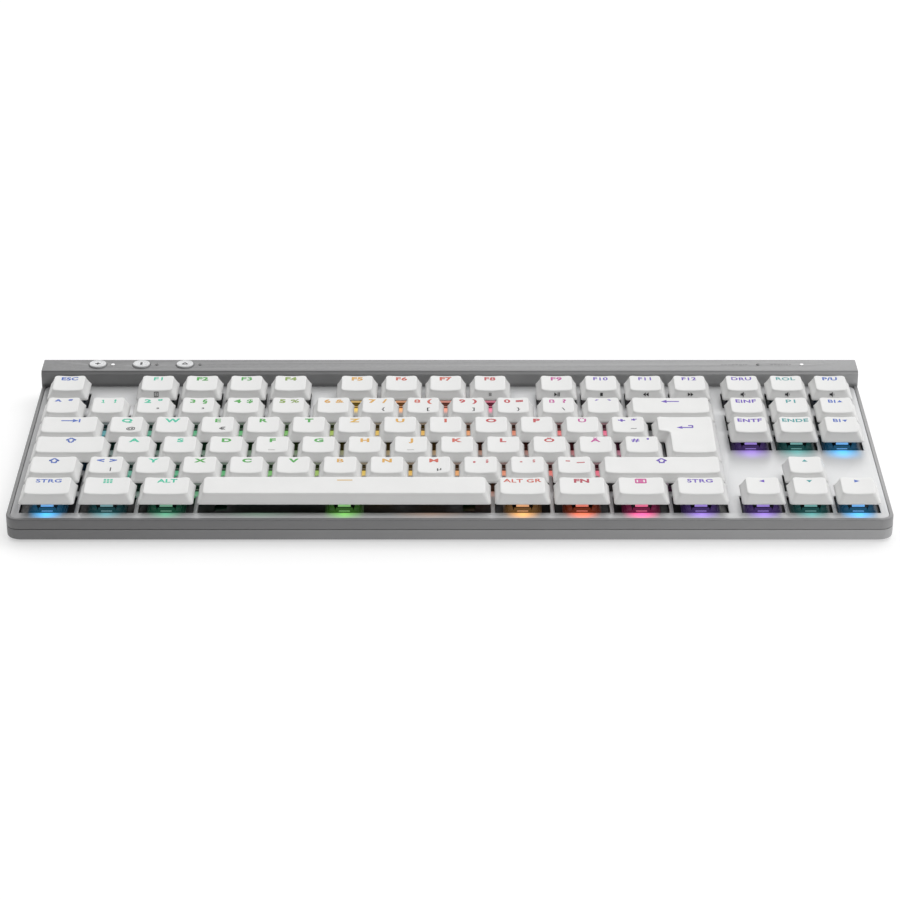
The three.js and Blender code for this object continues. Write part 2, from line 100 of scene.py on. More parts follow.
# ---------------------------------------------------------------- materials
class Mat:
    """Builds one node material on a Principled shader."""

    def __init__(self, name, base, rough=0.5, metal=0.0, spec=0.5, coat=0.0, coat_rough=0.2):
        self.m = bpy.data.materials.new(name)
        self.m.use_nodes = True
        self.nt = self.m.node_tree
        self.b = self.nt.nodes["Principled BSDF"]
        self.base = base
        self.b.inputs["Base Color"].default_value = base
        self.b.inputs["Roughness"].default_value = rough
        self.b.inputs["Metallic"].default_value = metal
        self.b.inputs["Specular IOR Level"].default_value = spec
        self.b.inputs["Coat Weight"].default_value = coat
        self.b.inputs["Coat Roughness"].default_value = coat_rough
        self.co = self.nt.nodes.new("ShaderNodeTexCoord")
        self.m.diffuse_color = base

    def node(self, kind, **vals):
        n = self.nt.nodes.new(kind)
        for k, v in vals.items():
            n.inputs[k].default_value = v
        return n

    def link(self, a, b):
        self.nt.links.new(a, b)

    def noise(self, scale, detail=4.0, rough=0.55, stretch=None):
        n = self.node("ShaderNodeTexNoise", Scale=scale, Detail=detail, Roughness=rough)
        src = self.co.outputs["Object"]
        if stretch:
            mp = self.node("ShaderNodeMapping")
            mp.inputs["Scale"].default_value = stretch
            self.link(src, mp.inputs["Vector"])
            src = mp.outputs["Vector"]
        self.link(src, n.inputs["Vector"])
        return n.outputs["Fac"]

    def ramp(self, fac, stops):
        r = self.nt.nodes.new("ShaderNodeValToRGB")
        els = r.color_ramp.elements
        while len(els) < len(stops):
            els.new(0.5)
        for e, (p, c) in zip(els, stops):
            e.position = p
            e.color = c
        self.link(fac, r.inputs["Fac"])
        return r.outputs["Color"]

    def tone(self, scale, amount, detail=3.0, stretch=None):
        """slow colour variation around the base colour"""
        c = self.base
        lo = tuple(v * (1 - amount) for v in c[:3]) + (1,)
        hi = tuple(min(1.0, v * (1 + amount)) for v in c[:3]) + (1,)
        col = self.ramp(self.noise(scale, detail, stretch=stretch), [(0.32, lo), (0.68, hi)])
        self.link(col, self.b.inputs["Base Color"])
        return self

    def rough(self, scale, lo, hi, detail=4.0, stretch=None):
        f = self.noise(scale, detail, stretch=stretch)
        mr = self.node("ShaderNodeMapRange")
        mr.inputs["From Min"].default_value, mr.inputs["From Max"].default_value = 0.3, 0.7
        mr.inputs["To Min"].default_value, mr.inputs["To Max"].default_value = lo, hi
        self.link(f, mr.inputs["Value"])
        self.link(mr.outputs["Result"], self.b.inputs["Roughness"])
        return self

    def bump(self, layers):
        """layers: (scale, distance in mm, strength)"""
        prev = None
        for scale, dist, strength in layers:
            bp = self.node("ShaderNodeBump", Strength=strength, Distance=dist * MM)
            self.link(self.noise(scale, 5.0), bp.inputs["Height"])
            if prev is not None:
                self.link(prev.outputs["Normal"], bp.inputs["Normal"])
            prev = bp
        self.link(prev.outputs["Normal"], self.b.inputs["Normal"])
        return self

    def edges(self, colour, amount=0.5):
        """painted highlight: lighter colour on convex edges, from the surface's own curvature"""
        g = self.nt.nodes.new("ShaderNodeNewGeometry")
        r = self.ramp(g.outputs["Pointiness"], [(0.50, (0, 0, 0, 1)), (0.60, (1, 1, 1, 1))])
        mx = self.nt.nodes.new("ShaderNodeMix")
        mx.data_type = "RGBA"
        k = self.node("ShaderNodeMath")
        k.operation = "MULTIPLY"
        k.inputs[1].default_value = amount
        self.link(r, k.inputs[0])
        self.link(k.outputs[0], mx.inputs[0])
        old = self.b.inputs["Base Color"]
        if old.is_linked:
            self.link(old.links[0].from_socket, mx.inputs[6])
        else:
            mx.inputs[6].default_value = self.base
        mx.inputs[7].default_value = colour
        self.link(mx.outputs[2], self.b.inputs["Base Color"])
        return self


    def across(self, left, right):
        """painted side light: the colour is scaled slowly from the left end of the case to the right end"""
        sp = self.nt.nodes.new("ShaderNodeSeparateXYZ")
        self.link(self.co.outputs["Object"], sp.inputs[0])
        mr = self.node("ShaderNodeMapRange")
        mr.inputs["From Min"].default_value, mr.inputs["From Max"].default_value = -0.18, 0.18
        mr.inputs["To Min"].default_value, mr.inputs["To Max"].default_value = left, right
        self.link(sp.outputs["X"], mr.inputs["Value"])
        vm = self.nt.nodes.new("ShaderNodeVectorMath")
        vm.operation = "SCALE"
        self.link(self.b.inputs["Base Color"].links[0].from_socket, vm.inputs[0])
        self.link(mr.outputs["Result"], vm.inputs["Scale"])
        self.link(vm.outputs[0], self.b.inputs["Base Color"])
        return self

    def along(self, axis, low, high, stops, gain=1.0):
        """painted light and shade: the colour is scaled by a ramp on one axis of the case"""
        sp = self.nt.nodes.new("ShaderNodeSeparateXYZ")
        self.link(self.co.outputs["Object"], sp.inputs[0])
        mr = self.node("ShaderNodeMapRange")
        mr.inputs["From Min"].default_value, mr.inputs["From Max"].default_value = low, high
        self.link(sp.outputs[axis], mr.inputs["Value"])
        r = self.ramp(mr.outputs["Result"], [(p, (v, v, v, 1)) for p, v in stops])
        m2 = self.node("ShaderNodeMapRange")
        m2.inputs["To Max"].default_value = gain
        self.link(r, m2.inputs["Value"])
        vm = self.nt.nodes.new("ShaderNodeVectorMath")
        vm.operation = "SCALE"
        self.link(self.b.inputs["Base Color"].links[0].from_socket, vm.inputs[0])
        self.link(m2.outputs["Result"], vm.inputs["Scale"])
        self.link(vm.outputs[0], self.b.inputs["Base Color"])
        return self


M_CAP = (Mat("keycap_plastic", srgb(228, 228, 227), 0.48, spec=0.4)
         .tone(55, 0.018).rough(420, 0.42, 0.56).bump([(2600, 0.012, 0.35), (900, 0.008, 0.2)])).m
M_CAP_IN = (Mat("keycap_inside", srgb(214, 214, 213), 0.6).tone(90, 0.03).rough(300, 0.5, 0.7)).m
# frame paint: the lighter convex edges are a painted highlight; across paints side light, darker at the left end and
# lighter at the right; the Z ramp paints the rear bar's front wall brighter as painted light
M_FRAME = (Mat("frame_satin_paint", srgb(122, 122, 123), 0.38, metal=0.0, spec=0.6)
           .tone(28, 0.03).rough(700, 0.32, 0.44).bump([(3800, 0.01, 0.35)]).edges(srgb(190, 190, 190), 0.25).across(0.63, 1.18)
           .along("Z", 0.0, 0.0189, [(0.0, 0.7), (0.56, 0.7), (0.62, 1.0), (0.85, 1.0), (0.875, 0.7), (1.0, 0.7)], 1.43)).m
# lower case paint: the lighter convex edges are a painted highlight; across paints side light, darker at the left end
# and lighter at the right
M_LOWER = (Mat("lower_case_plastic", srgb(142, 142, 143), 0.5, spec=0.45)
           .tone(24, 0.03).rough(600, 0.42, 0.6).bump([(2200, 0.02, 0.4)]).edges(srgb(175, 175, 175), 0.2).across(0.66, 1.42)).m
# deck paint: the lighter convex edges are a painted highlight; the X ramp paints shade at the left edge and the Y ramp
# paints shade towards the front edge; the deck glow below adds painted LED light in front of the switches
M_DECK = (Mat("deck_silver_paint", srgb(208, 209, 210), 0.36, metal=0.1, spec=0.5)
          .tone(30, 0.025).rough(900, 0.3, 0.42).bump([(4200, 0.008, 0.35)]).edges(srgb(225, 225, 225), 0.3)
          .along("X", -0.18, 0.18, [(0.01, 0.5), (0.035, 0.56), (0.07, 0.96), (0.5, 0.99), (1.0, 0.97)])
          .along("Y", -0.0706, 0.0706, [(0.0, 0.84), (0.1, 1.0), (1.0, 1.0)]))
DECK_MAT = M_DECK
M_DECK = M_DECK.m


def painted_deck_glow(mt, groups, rows, strength):
    """painted light: LED light thrown on the deck in front of the switches, painted as emission of the deck itself;
    colour by x, fading with y, per row; the base colour is darkened there as painted shade under the caps
    """
    nt = mt.nt
    sep = nt.nodes.new("ShaderNodeSeparateXYZ")
    mt.link(mt.co.outputs["Object"], sep.inputs[0])

    def math_node(op, a, b=None):
        n = nt.nodes.new("ShaderNodeMath")
        n.operation = op
        for i, v in enumerate((a, b)):
            if v is None:
                continue
            if isinstance(v, (int, float)):
                n.inputs[i].default_value = v
            else:
                mt.link(v, n.inputs[i])
        return n.outputs[0]

    def window(src, lo, hi, soft_lo, soft_hi):
        def edge(a, b):
            m = nt.nodes.new("ShaderNodeMapRange")
            m.interpolation_type = "SMOOTHSTEP"
            m.inputs["From Min"].default_value, m.inputs["From Max"].default_value = a * MM, b * MM
            mt.link(src, m.inputs["Value"])
            return m.outputs["Result"]
        return math_node("MULTIPLY", edge(lo - soft_lo, lo), math_node("SUBTRACT", 1.0, edge(hi, hi + soft_hi)))

    total = None
    for xs, y_edge, reach in groups:
        stops = []
        for x, half, power, c in xs:
            c = tuple(v * 0.9 for v in (c or glow_at(x))[:3]) + (1,)
            for d, k in ((-half, 0.0), (-half * 0.45, 0.5), (0, 1.0), (half * 0.45, 0.5), (half, 0.0)):
                stops.append((x + d, tuple(v * k * power for v in c[:3]) + (1,)))
        stops.sort(key=lambda t: t[0])
        m = nt.nodes.new("ShaderNodeMapRange")
        m.inputs["From Min"].default_value, m.inputs["From Max"].default_value = -180 * MM, 180 * MM
        mt.link(sep.outputs["X"], m.inputs["Value"])
        col = mt.ramp(m.outputs["Result"], [((x + 180) / 360, c) for x, c in stops])
        w = window(sep.outputs["Y"], y_edge - reach * 0.25, y_edge + 0.6, reach, 0.6)
        vm = nt.nodes.new("ShaderNodeVectorMath")
        vm.operation = "SCALE"
        mt.link(col, vm.inputs[0])
        mt.link(w, vm.inputs["Scale"])
        if total is None:
            total = vm.outputs[0]
        else:
            ad = nt.nodes.new("ShaderNodeVectorMath")
            ad.operation = "ADD"
            mt.link(total, ad.inputs[0])
            mt.link(vm.outputs[0], ad.inputs[1])
            total = ad.outputs[0]
    # evenly spaced keys: the same spot repeated every key pitch
    m = nt.nodes.new("ShaderNodeMapRange")
    m.inputs["From Min"].default_value, m.inputs["From Max"].default_value = -180 * MM, 180 * MM
    mt.link(sep.outputs["X"], m.inputs["Value"])
    hue = mt.ramp(m.outputs["Result"], [((x + 180) / 360, c) for x, c in GLOW])
    for first, count, y_edge, reach, half, power in rows:
        x0 = KEY_X0 + first * U
        cell = math_node("FRACT", math_node("DIVIDE", math_node("SUBTRACT", sep.outputs["X"], x0 * MM), U * MM))
        off = math_node("MULTIPLY", math_node("ABSOLUTE", math_node("SUBTRACT", cell, 0.5)), U * MM)
        fall = nt.nodes.new("ShaderNodeMapRange")
        fall.interpolation_type = "SMOOTHSTEP"
        fall.inputs["From Min"].default_value, fall.inputs["From Max"].default_value = half * MM, 0.0
        mt.link(off, fall.inputs["Value"])
        w = math_node("MULTIPLY", fall.outputs["Result"], window(sep.outputs["Y"], y_edge - reach, y_edge + 0.4, 0.8, 0.8))
        w = math_node("MULTIPLY", w, window(sep.outputs["X"], x0, x0 + count * U, 0.1, 0.1))
        w = math_node("MULTIPLY", w, power)
        vm = nt.nodes.new("ShaderNodeVectorMath")
        vm.operation = "SCALE"
        mt.link(hue, vm.inputs[0])
        mt.link(w, vm.inputs["Scale"])
        ad = nt.nodes.new("ShaderNodeVectorMath")
        ad.operation = "ADD"
        mt.link(total, ad.inputs[0])
        mt.link(vm.outputs[0], ad.inputs[1])
        total = ad.outputs[0]
    # painted light: the summed glow is emitted by the deck surface itself
    mt.link(total, mt.b.inputs["Emission Color"])
    mt.b.inputs["Emission Strength"].default_value = strength
    old = mt.b.inputs["Base Color"].links[0].from_socket
    bw = nt.nodes.new("ShaderNodeRGBToBW")
    mt.link(total, bw.inputs[0])
    # painted shade: the deck's base colour is darkened where the glow lies, for the shade under the overhanging caps
    under_cap_shade = math_node("SUBTRACT", 1.0, math_node("MINIMUM", math_node("MULTIPLY", bw.outputs[0], 1.3), 0.7))
    vm = nt.nodes.new("ShaderNodeVectorMath")
    vm.operation = "SCALE"
    mt.link(old, vm.inputs[0])
    mt.link(under_cap_shade, vm.inputs["Scale"])
    mt.link(vm.outputs[0], mt.b.inputs["Base Color"])


M_BLACK = (Mat("switch_black_plastic", srgb(24, 24, 26), 0.32, spec=0.5)
           .tone(160, 0.15).rough(500, 0.22, 0.42).bump([(1500, 0.01, 0.2)])).m
M_PLATE = (Mat("switch_plate_black", srgb(20, 21, 23), 0.45, metal=0.2)
           .tone(60, 0.12).rough(500, 0.38, 0.55)).m
M_STEM = (Mat("slider_brown_plastic", srgb(96, 62, 44), 0.4).tone(200, 0.08).rough(500, 0.35, 0.5)).m
M_PCB = (Mat("circuit_board_mask", srgb(22, 74, 48), 0.3, coat=0.3).tone(240, 0.2).rough(300, 0.25, 0.4)).m
M_FOAM = (Mat("damping_foam", srgb(48, 49, 52), 0.92).tone(900, 0.25).bump([(1800, 0.2, 0.8)])).m
M_RUBBER = (Mat("pad_rubber", srgb(30, 30, 31), 0.82, spec=0.3).tone(120, 0.12).rough(400, 0.72, 0.92)
            .bump([(1400, 0.03, 0.5)])).m
M_STEEL = (Mat("socket_steel", srgb(176, 178, 182), 0.28, metal=1.0).tone(300, 0.05)
           .rough(500, 0.2, 0.38, stretch=(0.1, 1, 1)).bump([(2500, 0.004, 0.2)])).m
M_WIRE = (Mat("stabiliser_wire", srgb(170, 172, 176), 0.3, metal=1.0).tone(250, 0.06).rough(700, 0.22, 0.4)).m
M_BUTTON = (Mat("button_silver", srgb(198, 199, 200), 0.3, metal=0.25, spec=0.55)
            .tone(140, 0.03).rough(900, 0.24, 0.38).bump([(3000, 0.006, 0.3)])).m
M_CLEAR = (Mat("light_guide_smoked", srgb(40, 41, 43), 0.15, spec=0.6).tone(400, 0.04).rough(300, 0.1, 0.2)).m
M_CELL = (Mat("battery_wrap", srgb(52, 92, 150), 0.35).tone(60, 0.1).rough(200, 0.3, 0.45)).m
M_INK = (Mat("dark_ink", srgb(52, 52, 54), 0.55).tone(300, 0.1).rough(400, 0.5, 0.6)).m
M_MARK = (Mat("bar_mark_ink", srgb(112, 112, 113), 0.5).tone(300, 0.06).rough(400, 0.45, 0.55)).m
M_WELL = (Mat("indicator_off", srgb(26, 26, 28), 0.2, coat=0.4).tone(400, 0.1)).m


def glow_material(name, strength, whiten=0.0, black=False):
    """colour per point from the mesh attribute 'tint'"""
    mt = Mat(name, srgb(24, 24, 26) if black else srgb(210, 210, 210), 0.4)
    a = mt.nt.nodes.new("ShaderNodeAttribute")
    a.attribute_name = "tint"
    n = mt.noise(800, 2.0)
    r = mt.ramp(n, [(0.3, (0.9, 0.9, 0.9, 1)), (0.7, (1, 1, 1, 1))])
    mx = mt.nt.nodes.new("ShaderNodeMix")
    mx.data_type, mx.blend_type = "RGBA", "MULTIPLY"
    mx.inputs[0].default_value = 1.0
    mt.link(a.outputs["Color"], mx.inputs[6])
    mt.link(r, mx.inputs[7])
    if black:
        mt.tone(300, 0.12).rough(600, 0.34, 0.5)
    else:
        mt.link(mx.outputs[2], mt.b.inputs["Base Color"])
    if whiten:
        mw = mt.nt.nodes.new("ShaderNodeMix")
        mw.data_type = "RGBA"
        mw.inputs[0].default_value = whiten
        mt.link(mx.outputs[2], mw.inputs[6])
        mw.inputs[7].default_value = (1, 1, 1, 1)
        mt.link(mw.outputs[2], mt.b.inputs["Emission Color"])
    else:
        mt.link(mx.outputs[2], mt.b.inputs["Emission Color"])
    mt.b.inputs["Emission Strength"].default_value = strength
    return mt.m


M_LEGEND = glow_material("legend_backlit", 0.02)
M_LENS = glow_material("switch_lens_lit", 0.42, 0.3)
M_HOUSE = glow_material("switch_housing_lit", 0.17, 0.0, True)
M_LED = glow_material("indicator_lit", 0.3)


def tint(mesh, colour):
    a = mesh.color_attributes.new("tint", "FLOAT_COLOR", "POINT")
    a.data.foreach_set("color", list(colour) * len(mesh.vertices))


# ---------------------------------------------------------------- backlight colours across the board
GLOW = [(-172, srgb(50, 150, 235)), (-155, srgb(36, 130, 180)), (-142, srgb(34, 142, 128)), (-115, srgb(36, 156, 106)),
        (-90, srgb(50, 162, 84)), (-68, srgb(96, 172, 54)), (-50, srgb(150, 178, 48)), (-36, srgb(220, 184, 62)),
        (-8, srgb(226, 172, 62)), (14, srgb(228, 136, 90)), (32, srgb(206, 104, 66)), (48, srgb(226, 78, 84)),
        (62, srgb(226, 74, 110)), (78, srgb(220, 78, 150)), (98, srgb(120, 84, 190)), (122, srgb(104, 78, 184)),
        (143, srgb(40, 150, 156)), (166, srgb(46, 150, 214))]


def glow_at(x):
    for (a, ca), (b, cb) in zip(GLOW, GLOW[1:]):
        if x <= b:
            t = max(0.0, (x - a) / (b - a))
            return tuple(ca[i] * (1 - t) + cb[i] * t for i in range(3)) + (1.0,)
    return GLOW[-1][1]


BLUE, TEAL, GREEN, OLIVE = srgb(14, 82, 182), srgb(8, 190, 152), srgb(10, 156, 10), srgb(118, 150, 4)
AMBER, ORANGE, SCARLET, RED = srgb(214, 166, 18), srgb(212, 156, 40), srgb(196, 62, 26), srgb(182, 8, 28)
CRIMSON, MAGENTA, PINK, VIOLET = srgb(172, 8, 52), srgb(186, 36, 140), srgb(198, 56, 140), srgb(84, 28, 176)
AQUA = srgb(28, 146, 148)

def glow_spots(items):
    return [(KEY_X0 + (x + w / 2) * U, half, power, srgb(*c) if c else None) for x, w, half, power, c in items]


C_SKY, C_VIOLET, C_AQUA = (64, 184, 252), (164, 118, 246), (60, 182, 178)
BOT = glow_spots([(0, 1.25, 7.0, 1.0, C_SKY), (1.25, 1.25, 7.0, 0.5, (70, 168, 178)), (2.5, 1.25, 7.0, 0.5, (66, 186, 138)),
                  (3.75, 6.25, 8.0, 0.55, (125, 222, 84)), (10, 1.25, 7.0, 0.9, (252, 180, 96))])
BOT2 = glow_spots([(11.25, 1.25, 7.0, 0.9, (252, 104, 54)), (12.5, 1.25, 7.5, 1.0, (250, 64, 146)),
                   (13.75, 1.25, 7.5, 0.6, C_VIOLET), (15.184, 1, 7.0, 0.6, C_VIOLET), (16.184, 1, 7.0, 0.5, C_AQUA)])
BOT3 = glow_spots([(4.6, 1, 16.0, 0.10, (90, 190, 130)), (8.2, 1, 16.0, 0.12, (236, 170, 120)), (17.184, 1, 7.5, 1.0, C_SKY)])
NAVD = glow_spots([(15.184, 1, 8.5, 0.5, C_VIOLET), (16.184, 1, 8.5, 0.45, C_AQUA), (17.184, 1, 8.5, 0.9, C_SKY)])
F_MID = glow_spots([(6.5, 1, 7.0, 0.8, (232, 192, 66)), (7.5, 1, 7.0, 0.8, (236, 160, 84)), (8.5, 1, 7.0, 0.8, (230, 140, 112)),
                    (9.5, 1, 7.0, 0.8, (228, 88, 130))])
SPOTS = [(ROW_Y[0], BOT + BOT2 + BOT3[2:]), (ROW_Y[3], NAVD), (ROW_Y[5], F_MID)]


def light_colour(px, py):
    """colour and share of the light seen at one switch"""
    for y, spots in SPOTS:
        if abs(y - py) < 1:
            for x, half, power, c in spots:
                if abs(x - px) < 3:
                    return c, 0.6 + 0.4 * power
    return glow_at(px), 0.22
painted_deck_glow(DECK_MAT, [(BOT, ROW_Y[0] - 7.4, 6.0), (BOT2, ROW_Y[0] - 7.4, 6.0), (BOT3, ROW_Y[0] - 7.4, 6.0), (NAVD, ROW_Y[3] - 7.4, 8.0),
                     (F_MID, ROW_Y[5] - 7.4, 5.0)],
          [(0, 13, ROW_Y[4] - 7.4, 4.3, 8.5, 0.5), (1.5, 12, ROW_Y[3] - 7.4, 4.3, 8.5, 0.35),
           (1.75, 12, ROW_Y[2] - 7.4, 4.3, 8.5, 0.5), (1.25, 11, ROW_Y[1] - 7.4, 4.3, 8.5, 0.35)], 1.7)

# ---------------------------------------------------------------- layout
NAV = 15.184
# (row, x in units, width, body, legends); a legend is (text or sign, place, colour)
KEYS = []


def K(row, x, w, body, *legends):
    KEYS.append((row, x, w, body, legends))


def bank(row, x, body, items):
    for i, legs in enumerate(items):
        K(row, x + i, 1, body, *legs)


def T(text, colour, place="top", size=1.0):
    return (text, place, colour, size)


D = "dark"
K(5, 0, 1, "key_escape", T("ESC", BLUE))
bank(5, 2, "key_bank_f1_f4", [[T("F1", TEAL), T("@panel", D, "front")], [T("F2", GREEN)], [T("F3", GREEN)], [T("F4", OLIVE)]])
bank(5, 6.5, "key_bank_f5_f8", [[T("F5", ORANGE)], [T("F6", SCARLET)], [T("F7", SCARLET)], [T("F8", RED), T("@bars", D, "front")]])
bank(5, 11, "key_bank_f9_f12", [[T("F9", MAGENTA), T("@playpause", D, "front")], [T("F10", VIOLET), T("@stop", D, "front")],
                                [T("F11", VIOLET), T("@back", D, "front")], [T("F12", VIOLET), T("@forward", D, "front")]])
bank(5, NAV, "key_bank_print_pause", [[T("DRU", VIOLET), T("@mute", D, "front")], [T("ROL", AQUA), T("@mute", D, "front")],
                                      [T("P/U", BLUE), T("@mute", D, "front")]])
NUM = [("^", "°", "", BLUE), ("@one", "!", "", TEAL), ("2", "\"", "²", TEAL), ("3", "§", "³", GREEN),
       ("4", "$", "", GREEN), ("5", "%", "", OLIVE), ("6", "&", "", ORANGE), ("7", "/", "{", ORANGE), ("8", "(", "[", SCARLET),
       ("9", ")", "]", RED), ("0", "=", "}", RED), ("ß", "?", "\\", MAGENTA), ("´", "`", "", VIOLET)]
bank(4, 0, "key_bank_numbers", [[T(a, c, "left"), T(b, c, "right")] + ([T(d, D, "low")] if d else []) for a, b, d, c in NUM])
K(4, 13, 2, "key_backspace", T("@arrowleft", VIOLET))
for i, t in enumerate([("EINF", VIOLET, "key_insert"), ("P1", AQUA, "key_home"), ("BI@up", BLUE, "key_page_up")]):
    K(4, NAV + i, 1, t[2], T(t[0], t[1]))
K(3, 0, 1.5, "key_tab", T("@tab", BLUE))
QROW = [("Q", TEAL, "@"), ("W", TEAL, ""), ("E", GREEN, "€"), ("R", GREEN, ""), ("T", GREEN, ""), ("Z", AMBER, ""),
        ("U", ORANGE, ""), ("I", SCARLET, ""), ("O", RED, ""), ("P", RED, ""), ("Ü", MAGENTA, "")]
bank(3, 1.5, "key_bank_upper_letters", [[T(a, c)] + ([T(d, D, "low")] if d else []) for a, c, d in QROW]
     + [[T("+", VIOLET, "left"), T("*", VIOLET, "right"), T("~", D, "low")]])
for i, t in enumerate([("ENTF", VIOLET, "key_delete"), ("ENDE", AQUA, "key_end"), ("BI@down", BLUE, "key_page_down")]):
    K(3, NAV + i, 1, t[2], T(t[0], t[1]))
K(2, 0, 1.75, "key_caps_lock", T("@caps", BLUE))
bank(2, 1.75, "key_bank_home_letters", [[T(a, c)] for a, c in
     [("A", TEAL), ("S", TEAL), ("D", GREEN), ("F", GREEN), ("G", GREEN), ("H", ORANGE), ("J", ORANGE), ("K", SCARLET),
      ("L", RED), ("Ö", RED), ("Ä", MAGENTA)]] + [[T("#", VIOLET, "left"), T("'", VIOLET, "right")]])
K(1, 0, 1.25, "key_shift_left", T("@shift", BLUE))
bank(1, 1.25, "key_bank_lower_letters", [[T("<", BLUE, "left"), T(">", BLUE, "right"), T("|", D, "low")]]
     + [[T(a, c)] for a, c in [("Y", TEAL), ("X", GREEN), ("C", GREEN), ("V", GREEN), ("B", ORANGE), ("N", ORANGE)]]
     + [[T("M", SCARLET), T("µ", D, "low")], [T(",", RED, "left"), T(";", RED, "right")],
        [T(".", RED, "left"), T(":", RED, "right")], [T("-", RED, "left"), T("_", RED, "right")]])
K(1, 12.25, 2.75, "key_shift_right", T("@shift", VIOLET))
K(1, NAV + 1, 1, "key_arrow_up", T("@up", AQUA))
K(0, 0, 1.25, "key_ctrl_left", T("STRG", BLUE))
K(0, 1.25, 1.25, "key_system", T("@system", TEAL))
K(0, 2.5, 1.25, "key_alt_left", T("ALT", TEAL))
K(0, 3.75, 6.25, "key_space", T("@dash", AMBER))
K(0, 10, 1.25, "key_alt_right", T("ALT GR", SCARLET))
K(0, 11.25, 1.25, "key_function", T("FN", CRIMSON))
K(0, 12.5, 1.25, "key_menu", T("@menu", PINK))
K(0, 13.75, 1.25, "key_ctrl_right", T("STRG", VIOLET))
K(0, NAV, 1, "key_arrow_left", T("@left", VIOLET))
K(0, NAV + 1, 1, "key_arrow_down", T("@down", AQUA))
K(0, NAV + 2, 1, "key_arrow_right", T("@right", BLUE))
ENTER_C = (KEY_X0 + 14.375 * U, (ROW_Y[2] + ROW_Y[3]) / 2)


# ---------------------------------------------------------------- keycaps
def round_outline(corners, radius, div):
    """corners counter-clockwise (x, y); each is rounded, each edge divided; same point count for every radius"""
    n, pts = len(corners), []
    for i in range(n):
        p0, p, p1 = Vector(corners[i - 1]), Vector(corners[i]), Vector(corners[(i + 1) % n])
        a, b = (p0 - p).normalized(), (p1 - p).normalized()
        s, e = p + a * radius, p + b * radius
        c = p + (a + b) * radius
        for k in range(7):
            t = k / 6 * math.pi / 2
            v = c + (s - c) * math.cos(t) + (e - c) * math.sin(t)
            pts.append((v.x, v.y))
        e2 = p1 + (p - p1).normalized() * radius
        for k in range(1, div[i]):
            v = e.lerp(e2, k / div[i])
            pts.append((v.x, v.y))
    return pts


def cap_mesh(name, corners, kernel, surf, z_flat=None):
    """corners: (x, y, lean x, lean y) of the footprint; surf(x, y) is the height of the top face"""
    div = []
    for i in range(len(corners)):
        a, b = corners[i], corners[(i + 1) % len(corners)]
        div.append(max(5, int(math.hypot(a[0] - b[0], a[1] - b[1]) / 2.2)))
    lx, ly = (CAP_FOOT - CAP_TOP_W) / 2, (CAP_FOOT - CAP_TOP_D) / 2

    def ring(s, inset, r, zf):
        cs = [(x + i * (lx * s + inset), y + j * (ly * s + inset)) for x, y, i, j in corners]
        return [(x, y, zf(x, y)) for x, y in round_outline(cs, max(r, 0.15), div)]

    rings = []
    # inside, from the ceiling down to the skirt
    ti = (CAP_CEIL - CAP_Z0) / (CAP_ZF - CAP_Z0)
    for s, z, r in [(ti, CAP_CEIL, 0.9), (ti * 0.93, CAP_CEIL - 0.35, 0.8), (ti * 0.5, (CAP_CEIL + CAP_Z0) / 2, 0.6), (0, CAP_Z0 + 0.12, 0.5)]:
        rings.append(ring(s, CAP_WALL, r, lambda x, y, z=z: z))
    n_in = len(rings)
    rings.append(ring(0, CAP_WALL - 0.14, 0.55, lambda x, y: CAP_Z0))
    rings.append(ring(0, 0.22, 1.0, lambda x, y: CAP_Z0))
    rings.append(ring(0, 0.06, 1.1, lambda x, y: CAP_Z0 + 0.07))
    rings.append(ring(0, 0.0, 1.15, lambda x, y: CAP_Z0 + 0.24))
    for s in (0.25, 0.5, 0.72):
        k = 0.10 * math.sin(math.pi * s)  # slightly hollow flanks
        rings.append(ring(s, k, 1.15 + 0.6 * s, lambda x, y, s=s: CAP_Z0 + s * (surf(x, y) - CAP_Z0)))
    f = 0.62  # edge radius between flank and top
    for deg in (0, 18, 38, 58, 76, 90):
        a = math.radians(deg)
        h, v = f * (1 - math.cos(a)) * 0.85, f * (1 - math.sin(a))
        rings.append(ring(0.9, h - 0.04, 1.75, lambda x, y, v=v: surf(x, y) - v))
    edge = rings[-1]
    for q in (0.86, 0.72, 0.56, 0.4, 0.24, 0.1):
        rings.append([(kernel[0] + (x - kernel[0]) * q, kernel[1] + (y - kernel[1]) * q, 0) for x, y, _ in edge])
        rings[-1] = [(x, y, surf(x, y)) for x, y, _ in rings[-1]]
    verts, faces, mats = [], [], []
    n = len(rings[0])
    for r in rings:
        verts += r
    for i in range(len(rings) - 1):
        for j in range(n):
            a, b = i * n + j, i * n + (j + 1) % n
            faces.append((a, b, b + n, a + n))
            mats.append(1 if i < n_in - 1 else 0)
    verts.append((kernel[0], kernel[1], surf(*kernel)))
    top, last = len(verts) - 1, (len(rings) - 1) * n
    for j in range(n):
        faces.append((last + j, last + (j + 1) % n, top))
        mats.append(0)
    verts.append((kernel[0], kernel[1], CAP_CEIL))
    c0 = len(verts) - 1
    for j in range(n):
        faces.append(((j + 1) % n, j, c0))
        mats.append(1)
    me = bpy.data.meshes.new(name)
    me.from_pydata([(x * MM, y * MM, z * MM) for x, y, z in verts], [], faces)
    me.materials.append(M_CAP)
    me.materials.append(M_CAP_IN)
    me.polygons.foreach_set("material_index", mats)
    bm = bmesh.new()
    bm.from_mesh(me)
    bmesh.ops.recalc_face_normals(bm, faces=bm.faces)
    bm.to_mesh(me)
    bm.free()
    smooth(me)
    return me


